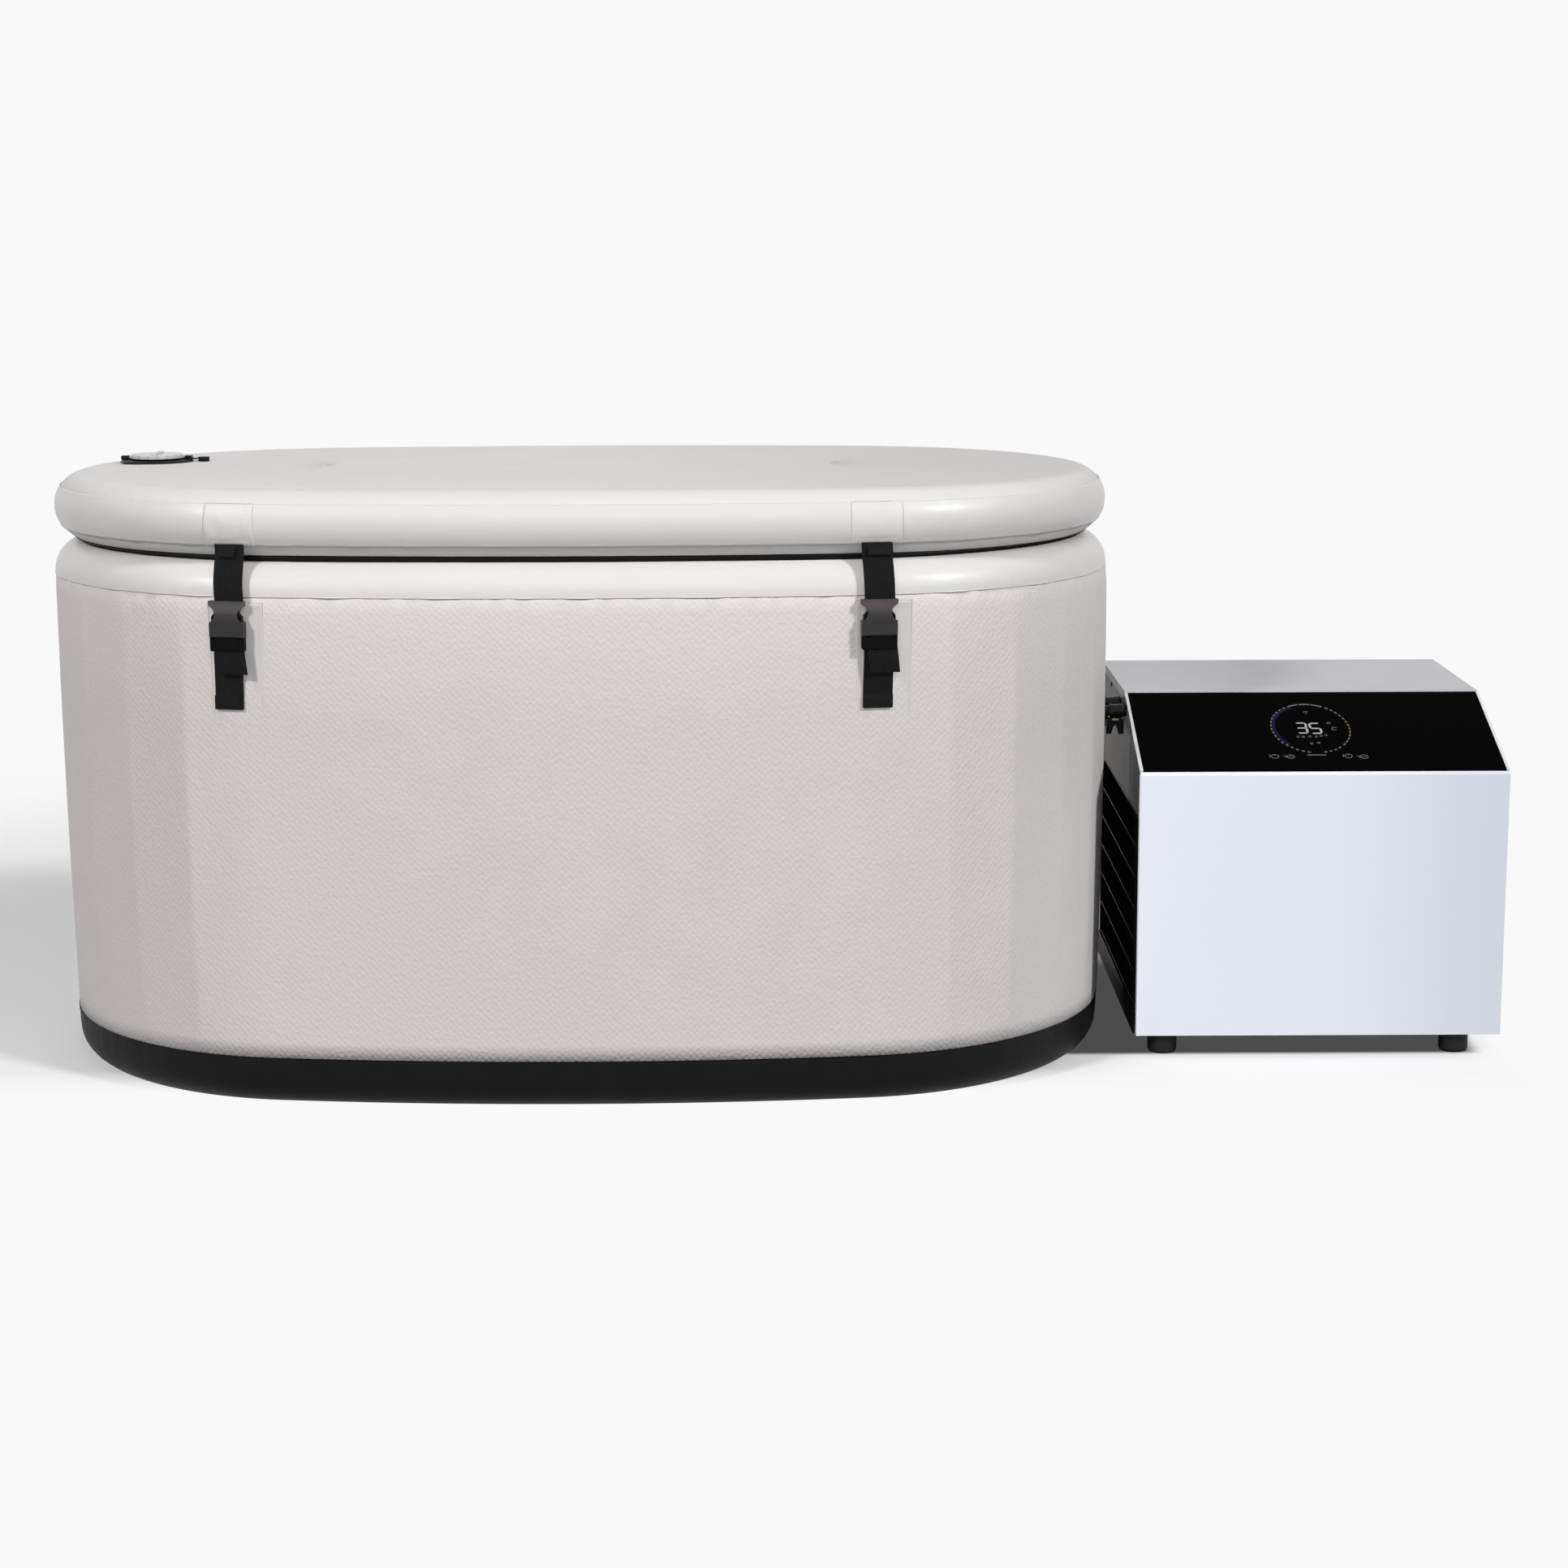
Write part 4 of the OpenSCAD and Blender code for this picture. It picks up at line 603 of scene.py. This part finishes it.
def patch(name, x, shift, wide, profile_out, profile_z, n_out, n_up):
    """A welded rectangle on the skin: rows along the wall, columns up the profile, the rim pressed down."""
    middle = along_at(-math.pi / 2 + front_turn(x)) + shift
    high = math.hypot(profile_out[-1] - profile_out[0], profile_z[-1] - profile_z[0])
    u = np.linspace(-1, 1, PATCH_ROWS)
    v = np.linspace(-1, 1, len(profile_out))
    edge = np.minimum((1 - np.abs(u))[:, None] * wide / 2, (1 - np.abs(v))[None, :] * .5 * high)
    seam = -.00022 * np.exp(-((edge - .008) / .0016) ** 2) + .00012 * np.exp(-((edge - .0045) / .001) ** 2)
    rng = np.random.default_rng(len(name))
    wave = sum(rng.uniform(.4, 1) * np.sin(k * 7 * (u[:, None] + rng.uniform(0, 6))
                                           + j * 5 * (v[None, :] + rng.uniform(0, 6)))
               for k, j in ((1, .6), (.4, 1.3), (1.7, .3))) * .00012
    top = np.minimum(PATCH_T, edge * 2.5) + seam * (edge > .001) + wave * np.clip(edge / .01, 0, 1)
    rows = np.concatenate([top, np.zeros_like(top)], 1)
    o = np.concatenate([profile_out, profile_out[::-1]]) + rows * np.concatenate([n_out, n_out[::-1]])
    h = np.concatenate([profile_z, profile_z[::-1]]) + rows * np.concatenate([n_up, n_up[::-1]])
    return skin(name, PATCH_ROWS, o, h, start=middle - wide / 2, stop=middle + wide / 2)


for side, x in STRAPS.items():
    z = np.linspace(.522, .690, 60)
    piece = patch(f"tub_patch_{side}", x, .008, .076, .0002 - lean(z), z, np.ones(60), np.zeros(60))
    dress(piece, patch_fabric, ROOT, ("tub_patches",))
    theta = np.radians(np.linspace(-35.2, 35.2, 40))
    piece = patch(f"lid_patch_{side}", x, 0, .070, LID_LINE + .0485 * np.cos(theta),
                  LID_MID + .0485 * np.sin(theta), np.cos(theta), np.sin(theta))
    dress(piece, patch_fabric, LID_BODY, ("lid_patches",))

# Straps
# Flat black webbing, 40 mm wide and 1.8 mm thick, woven in a fine diagonal twill with a bound edge. The
# upper one drops from the lid into the female half, the lower one is sewn to the wall, turns over the
# male half's bar and hangs in front as a loose end.

webbing = material("webbing", (25, 25, 26), .85, mottle=.25, size=.006, specular=.08, sheen=.06,
                   grain=(("DIAGONAL", .0021, .0005, "UV"), ("X", .0009, .0002, "UV"),
                          ("noise", .0012, .0002, "UV")))
WEB_STEP = .0012  # distance between two rows of the mesh
BAR_Y, BAR_Z, BAR_R = -.0084, .636, .0033  # where the webbing turns over the male half's bar


def smooth_path(points):
    """A Catmull-Rom curve through 2-D points, sampled evenly."""
    p = np.array(points, float)
    p = np.concatenate([[2 * p[0] - p[1]], p, [2 * p[-1] - p[-2]]])
    t = np.linspace(0, 1, 24)[:-1, None]
    parts = [.5 * (2 * b + (c - a) * t + (2 * a - 5 * b + 4 * c - d) * t ** 2 + (3 * b - a - 3 * c + d) * t ** 3)
             for a, b, c, d in zip(p, p[1:], p[2:], p[3:])]
    line = np.concatenate(parts + [p[-2:-1]])
    far = np.concatenate([[0], np.cumsum(np.hypot(*np.diff(line, axis=0).T))])
    at = np.linspace(0, far[-1], max(int(far[-1] / WEB_STEP), 8))
    return np.stack([np.interp(at, far, line[:, k]) for k in (0, 1)], 1), at


def ribbon(name, points, place, wide=.040, thick=.0018, shift=(0, 0), seed=1):
    """Webbing along local points (y, z): a flat section with rounded, slightly thicker edges, carried along
    the path, with a faint cup, a slow drift, and a shift sideways that goes from one end to the other."""
    line, far = smooth_path(points)
    ahead = np.gradient(line, axis=0)
    ahead /= np.hypot(*ahead.T)[:, None]
    side = np.stack([-ahead[:, 1], ahead[:, 0]], 1)
    k = np.linspace(0, 2 * np.pi, 41)[:-1]
    across = np.sign(np.cos(k)) * np.abs(np.cos(k)) ** .28 * wide / 2
    bound = 1 + .18 * np.exp(-((np.abs(across) - wide / 2 + .0022) / .0012) ** 2)
    deep = np.sign(np.sin(k)) * np.abs(np.sin(k)) ** .5 * thick / 2 * bound
    rng = np.random.default_rng(seed)
    drift = .0005 * np.sin(far / .045 + rng.uniform(0, 6)) + np.interp(far / far[-1], (0, 1), shift)
    cup = .0004 * (1 - (across / wide * 2) ** 2)
    x = drift[:, None] + across[None, :]
    y = line[:, :1] + side[:, :1] * (deep + cup)[None, :]
    z = line[:, 1:] + side[:, 1:] * (deep + cup)[None, :]
    pts = np.stack([x, y, z], -1)
    ends = [np.stack([pts[k, :, 0], np.full(40, line[k, 0]), np.full(40, line[k, 1])], 1)[None] for k in (0, -1)]
    pts = np.concatenate([ends[0], pts, ends[1]])  # both ends close on the section's middle line
    far = np.concatenate([[0], far, far[-1:]])
    u = np.concatenate([across, across[:1]])
    uv = np.stack([u[None, :].repeat(len(far), 0), far[:, None].repeat(41, 1)], -1)
    return grid(name, place(pts.reshape(-1, 3)).reshape(pts.shape), uv, False, True, flip=True)


for side, x in STRAPS.items():
    place = strap_frame(x)
    left = side == "left"
    seed = 5 if left else 9
    skew = -.0040 if left else -.0005
    aside = -.002 if left else .004
    upper = ribbon(f"lid_strap_{side}", [(.0076, .7660), (.0066, .7533), (-.0030, .7290), (-.0074, .7130),
                                         (-.0084, .7010), (-.0084, .6885)],
                   place, wide=.0408, seed=seed, shift=(0, .0034 if left else .0008))
    dress(upper, webbing, LID_BODY, ("lid_straps",))
    turn = [(BAR_Y + BAR_R * math.cos(a), BAR_Z + BAR_R * math.sin(a)) for a in np.radians(np.arange(0, 181, 30))]
    lower = ribbon(f"tub_strap_{side}", [(-.0012, .548), (-.0012, .572), (-.0034, .600), (-.0050, .618),
                                         (-.0051, .629)] + turn + [(-.0117, .627)],
                   place, seed=seed + 1, shift=(skew, 0))
    dress(lower, webbing, ROOT, ("tub_straps",))
    tail = ribbon(f"strap_tail_{side}", [(-.0117, .630), (-.0121, .613), (-.0112, .596)], place, seed=seed + 3,
                  shift=(.0035, .0072))
    dress(tail, webbing, ROOT)
    hem = ribbon(f"strap_hem_{side}", [(-.0030, .5475), (-.0031, .560), (-.0026, .566)], place, thick=.0014,
                 wide=.0392, seed=seed + 2, shift=(skew, skew))
    dress(hem, webbing, ROOT)
    knot = ribbon(f"strap_fold_{side}", [(-.0010, .7500), (.0036, .7570), (.0068, .7625), (.0074, .7650)], place,
                  thick=.0020, wide=.022 if left else .034, seed=seed + 4, shift=(aside, aside))
    dress(knot, webbing, LID_BODY)

# Carried-over CAD nodes
# Moulded plastics, painted sheet metal, glass, brass, rubber and the inner parts keep their CAD shape, and
# each gets the finish of its real material. Some of these finishes also carry painted light and shade, noted
# where they are made.


def finish(mat, *names):
    """Puts one material in every slot of the named CAD nodes."""
    for name in names:
        for cell in nodes[name].material_slots:
            cell.material = mat


# Painted light and shade: the female halves are painted lighter on their upper part and darker below 0.66 m.
buckle_plastic = zone(material("buckle_plastic", (78, 72, 73), .30, mottle=.10, size=.012, specular=.25,
                               grain=(("noise", .0006, .00006, "Object"),)), "Z", .690, .662, (44, 42, 43))
buckle_black = material("buckle_black", (9, 9, 9), .30, mottle=.10, size=.012, specular=.06,
                        grain=(("noise", .0006, .00005, "Object"),))
black_plastic = material("black_plastic", (15, 15, 16), .40, mottle=.15, size=.02, specular=.14,
                         grain=(("noise", .0007, .00006, "Object"),))
louvre_black = material("louvre_black", (27, 27, 27), .55, mottle=.2, size=.02, specular=0,
                        grain=(("noise", .0009, .00006, "Object"),))
polished_black = material("polished_black", (7, 7, 7), .22, mottle=.1, size=.01, specular=.22, rough_vary=.03)
white_plastic = material("white_plastic", (226, 227, 226), .3, mottle=.03, size=.03, specular=.5)
clear_plastic = material("clear_plastic", (196, 193, 192), .25, mottle=.08, size=.02, specular=.35, coat=.1)
brass = material("brass", (190, 164, 118), .30, mottle=.15, size=.006, metal=1, second=(150, 122, 80),
                 grain=(("noise", .0012, .00006, "Object"),))
galvanised = material("galvanised", (160, 163, 166), .42, mottle=.2, size=.02, metal=.9, second=(120, 124, 128),
                      grain=(("cells", .012, .0001, "Object"),))
foot_rubber = material("foot_rubber", (15, 15, 15), .6, mottle=.2, size=.01, specular=.25,
                       grain=(("noise", .0008, .0001, "Object"),))
# Painted shade: the front panel is painted darker towards its right edge, from x 1.00 to 1.34 m.
white_paint = zone(material("white_paint", (238, 242, 251), .33, mottle=.008, size=.25, specular=.4, coat=.12,
                            coat_rough=.2,
                            grain=(("noise", .0016, .00004, "Object"),)), "X", 1.00, 1.34, (220, 224, 233))
# Painted light and shade: the top cover is painted lighter towards its left end, and dark on its left side face,
# outside x 0.7906 m.
silver_paint = zone(material("silver_paint", (192, 191, 197), .40, mottle=.02, size=.1, specular=.2,
                             grain=(("noise", .0014, .00005, "Object"),)), "X", 1.10, .82, (222, 221, 227))
zone(silver_paint, "X", .7912, .7906, (112, 108, 107))
# Painted shade: the side panels are painted near black in front of y 0.004 m and behind y 0.35 m.
grey_paint = zone(material("grey_paint", (142, 134, 130), .5, mottle=.03, size=.1, specular=.12,
                           grain=(("noise", .0014, .00006, "Object"),)), "Y", .020, .004, (40, 35, 36))
zone(grey_paint, "Y", .340, .350, (34, 31, 31))
rear_paint = material("rear_paint", (124, 119, 117), .5, mottle=.03, size=.1, specular=.12,
                      grain=(("noise", .0014, .00006, "Object"),))
black_glass = material("black_glass", (3, 3, 3), .07, mottle=.1, size=.2, specular=.003, rough_vary=.02)
bright_trim = material("bright_trim", (226, 229, 233), .25, mottle=.04, size=.02, metal=.35,
                       grain=(("noise", .0009, .00004, "Object"),))
circuit_board = material("circuit_board", (38, 84, 52), .5, mottle=.3, size=.006)
fins = material("fins", (176, 178, 182), .35, mottle=.1, size=.01, metal=.9)
dark_paint = material("dark_paint", (34, 36, 38), .42, mottle=.1, size=.03, grain=(("noise", .002, .0001, "Object"),))
titanium = material("titanium", (198, 200, 202), .3, mottle=.08, size=.05, metal=.85)
grey_plastic = material("grey_plastic", (92, 95, 98), .45, mottle=.06, size=.03,
                        grain=(("noise", .0008, .00006, "Object"),))
pump_plastic = material("pump_plastic", (38, 62, 104), .4, mottle=.1, size=.03,
                        grain=(("noise", .0008, .00006, "Object"),))

finish(buckle_plastic, "buckle_female_left", "buckle_female_right")
finish(buckle_black, "buckle_male_left", "buckle_male_right", "prong_left_a", "prong_left_b", "prong_right_a",
       "prong_right_b")
finish(black_plastic, "tub_valve_body", "tub_valve_tether", "lid_valve_body", "lid_valve_tether", "drain_body",
       "drain_lever", "wall_fittings", "strainer", "return_jet", "front_valve_lever", "rear_valve_lever",
       "fan_shroud", "mains_gland", "mains_bezel", "mains_rocker")
finish(white_plastic, "tub_valve_pin", "lid_valve_pin", "fan_blades")
finish(clear_plastic, "tub_valve_cap", "lid_valve_cap")
finish(brass, "gland_nuts")
finish(polished_black, "valve_shells", "union_nuts")
finish(louvre_black, "louvres")
finish(galvanised, "base_pan")
finish(foot_rubber, "chiller_feet")
finish(white_paint, "front_panel")
finish(silver_paint, "top_cover")
finish(grey_paint, "side_panels")
finish(rear_paint, "rear_panel")
finish(black_glass, "control_glass")
finish(bright_trim, "glass_trim")
finish(circuit_board, "display_board")
finish(fins, "condenser")
finish(dark_paint, "fan_motor", "compressor", "case_screws")
finish(titanium, "heat_exchanger")
finish(grey_plastic, "inner_pipes", "control_box")
finish(pump_plastic, "water_pump")

# Louvre highlights and side sills
# The lip of each louvre slat carries a thin strip painted light, a painted highlight along its upper edge
# that fades into painted shade near the front, and a brown-grey folded sill closes each side below the louvre.

UNIT_X, UNIT_W = .790, .521
SLAT_LOW, SLAT_PITCH = .0688, .046
# Painted highlight on the slat lips, fading to painted shade towards the front of the side.
edge_metal = zone(material("edge_metal", (112, 108, 104), .5, mottle=.6, size=.004, specular=.2,
                           second=(52, 50, 48)), "Y", .045, -.01, (9, 9, 9))
# Painted shade: the sills are painted darker towards the front, near black in front of y -0.02 m.
sill_paint = zone(material("sill_paint", (88, 80, 79), .5, mottle=.06, size=.05, specular=.1,
                           grain=(("noise", .0014, .00006, "Object"),)), "Y", .06, -.02, (24, 20, 21))


def fold(name, profile, y0, y1, mat):
    """A folded strip along the chiller's side: its section (out from the side, up) runs from y0 to y1, once
    on the left and, mirrored, once on the right, with the ends drawn in a little."""
    section = np.array(profile)
    middle = section.mean(0)
    for side, x0, out in (("left", UNIT_X, -1), ("right", UNIT_X + UNIT_W, 1)):
        rows = []
        for y, size in ((y0, 0), (y0, .7), (y0 + .0012, 1), (y1 - .0012, 1), (y1, .7), (y1, 0)):
            ring = middle + (section - middle) * size
            rows.append(np.column_stack([x0 + out * ring[:, 0], np.full(len(ring), y), ring[:, 1]]))
        pts = np.array(rows)
        uv = np.stack(np.meshgrid(np.linspace(y0, y1, 6), np.arange(len(section) + 1) * .01, indexing="ij"), -1)
        dress(grid(f"{name}_{side}", pts, uv, False, True, flip=out > 0), mat, ROOT)


for k in range(6):
    low = SLAT_LOW + SLAT_PITCH * k
    fold(f"slat_edge_{k + 1}", [(.0010, low), (.0013, low + .0003), (.0013, low + .0011), (.0010, low + .0014),
                                (.0004, low + .0014), (.0004, low)], -.108, .338, edge_metal)
fold("side_sill", [(-.0012, .0262), (.0014, .0256), (.0020, .0266), (.0020, .0616), (.0017, .0624), (.0012, .0624),
                   (.0012, .0500), (-.0012, .0490)], -.125, .384, sill_paint)

# Display
# Thin shapes on the black glass, drawn as if they shone through it: a ring of short bars from cold to warm,
# round two large digits, a degree sign and small icons, and below it four touch signs with a dash between.

UNIT_Y, SLANT = -.152, math.atan2(.080, .220)
GLASS_LOW = .413  # height of the slope's lower edge
MARK_LOW, MARK_HIGH = .00002, .00015


def on_glass(points):
    """Local (across from the glass's middle, up the slope from its lower edge, out) to the frame."""
    p = np.asarray(points, float)
    return np.stack([UNIT_X + UNIT_W / 2 + p[:, 0], UNIT_Y + p[:, 1] * math.cos(SLANT) - p[:, 2] * math.sin(SLANT),
                     GLASS_LOW + p[:, 1] * math.sin(SLANT) + p[:, 2] * math.cos(SLANT)], 1)


def marks(name, shapes, mat):
    """Flat lit shapes on the glass: each is a polygon of local points, drawn as a thin raised prism."""
    bm = bmesh.new()
    for shape in shapes:
        shape = np.asarray(shape, float)
        low = on_glass(np.column_stack([shape, np.full(len(shape), MARK_LOW)]))
        high = on_glass(np.column_stack([shape, np.full(len(shape), MARK_HIGH)]))
        a = [bm.verts.new(v) for v in low]
        b = [bm.verts.new(v) for v in high]
        bm.faces.new(b)
        bm.faces.new(a[::-1])
        for i in range(len(a)):
            j = (i + 1) % len(a)
            bm.faces.new((a[i], a[j], b[j], b[i]))
    bmesh.ops.recalc_face_normals(bm, faces=bm.faces)
    mesh = bpy.data.meshes.new(name)
    bm.to_mesh(mesh)
    bm.free()
    obj = bpy.data.objects.new(name, mesh)
    scene.collection.objects.link(obj)
    dress(obj, mat, ROOT)


def bar(x, y, wide, high):
    """An upright rectangle about a point."""
    w, h = wide / 2, high / 2
    return [(x - w, y - h), (x + w, y - h), (x + w, y + h), (x - w, y + h)]


def arc_bars(cx, cy, r, thick, a0, a1, count, fill):
    """Short bars along an arc from a0 to a1 degrees."""
    out = []
    step = (a1 - a0) / count
    for i in range(count):
        t = np.radians(a0 + step * (i + .5) + step * fill * np.array([-.5, -.17, .17, .5]))
        out.append([(cx + (r + thick / 2) * math.cos(v), cy + (r + thick / 2) * math.sin(v)) for v in t] +
                   [(cx + (r - thick / 2) * math.cos(v), cy + (r - thick / 2) * math.sin(v)) for v in t[::-1]])
    return out


RING = (-.003, .125)
STRETCH = 1.25


def stretched(shapes):
    """The ring is a little longer up the slope than across."""
    return [[(x, RING[1] + (y - RING[1]) * STRETCH) for x, y in shape] for shape in shapes]


def lit(name, colour, strength=0):
    """The finish of a mark: plain and matt, with a glow of its own where strength is given."""
    return material(name, colour, .3, mottle=.1, size=.01, specular=.02, emit=strength)


lit_white = lit("lit_white", (168, 170, 172))
lit_grey = lit("lit_grey", (100, 101, 103), .16)
lit_blue = lit("lit_blue", (14, 11, 54))
lit_amber = lit("lit_amber", (110, 96, 68))
marks("ring_cold", stretched(arc_bars(*RING, .0562, .0021, 118, 262, 17, .55)), lit_grey)
marks("ring_cold_glow", stretched(arc_bars(*RING, .0526, .0044, 112, 226, 12, .98)), lit_blue)
marks("ring_top", stretched(arc_bars(*RING, .0562, .0024, 62, 116, 3, .9)), lit_grey)
marks("ring_warm", stretched(arc_bars(*RING, .0562, .0024, -46, 60, 13, .62)), lit_amber)
marks("ring_warm_end", stretched(arc_bars(*RING, .0562, .0021, -82, -49, 4, .5)), lit_grey)


DIGIT_W, DIGIT_H, DIGIT_BAR = .0140, .029, .0034


def digit(which, x, y):
    """Seven bars, of which a digit lights some. Each bar is a flat hexagon."""
    lights = {"3": "abgcd", "5": "afgcd"}[which]
    w, h2, t = DIGIT_W / 2, DIGIT_H / 2, DIGIT_BAR / 2
    spots = {"a": (0, h2, 1), "g": (0, 0, 1), "d": (0, -h2, 1), "b": (w, h2 / 2, 0), "c": (w, -h2 / 2, 0),
             "f": (-w, h2 / 2, 0)}
    out = []
    for key in lights:
        cx, cy, flat = spots[key]
        half = (w if flat else h2 / 2) - .0004
        hexagon = [(-half, 0), (-half + t, t), (half - t, t), (half, 0), (half - t, -t), (-half + t, -t)]
        out.append([(x + cx + (p if flat else r), y + cy + (r if flat else -p)) for p, r in hexagon])
    return out


marks("digits", digit("3", -.0155, .1255) + digit("5", .0042, .1245), lit_white)
marks("degree", arc_bars(.0255, .1400, .0022, .0011, 0, 360, 8, 1)
      + arc_bars(.0315, .1235, .0040, .0011, 40, 320, 8, 1), lit_grey)
small = []
for x, y in ((-.0240, .1005), (-.0165, .1000), (-.0070, .1010), (.0020, .1005), (.0095, .1030), (.0165, .1040),
             (-.0075, .0810), (.0030, .0825)):
    small += arc_bars(x, y, .0022, .0008, 30, 330, 6, .9) + [bar(x + .0006, y, .0008, .0034)]
small += arc_bars(-.0028, .1710, .0030, .0010, 20, 200, 5, 1)
small += [bar(-.0028, .1682, .0010, .0042), bar(-.0060, .1720, .0008, .0034)]
marks("small_signs", small, lit_grey)
touch = []
for k, (x, y) in enumerate(((-.0666, .0446), (-.0443, .0437), (.0378, .0449), (.0599, .0429))):
    touch += arc_bars(x + .0015, y, .0052, .0011, 0, 360, 14, 1)
    if k % 2 == 0:
        touch += [bar(x - .0058, y + .0012, .0011, .0075), bar(x + .0015, y + .0035, .0011, .0045)]
    else:
        touch += [bar(x - .0060, y + .0018, .0060, .0011), bar(x + .0015, y, .0055, .0011),
                  bar(x - .0056, y - .001, .0011, .005)]
marks("touch_signs", touch, lit_grey)
marks("dash", [bar(-.0055, .0480, .0265, .0022)], lit_grey)

# Flags
# Each side light is flagged off the strap on its own far side, so that each strap throws one clear shadow,
# as in the photograph: the left one to the right, the right one to the left.


def flag(lamp, word):
    """Strap, buckle and prong pieces with that word in their name throw no shadow from the lamp."""
    spared = bpy.data.collections.new(lamp + "_flag")
    bpy.data.objects[lamp].light_linking.blocker_collection = spared
    for obj in list(scene.objects):
        if obj.type == "MESH" and word in obj.name and any(key in obj.name for key in ("strap", "buckle", "prong")):
            spared.objects.link(obj)
    for item in spared.collection_objects:
        item.light_linking.link_state = "EXCLUDE"


flag("key_left", "right")
flag("key_right", "left")
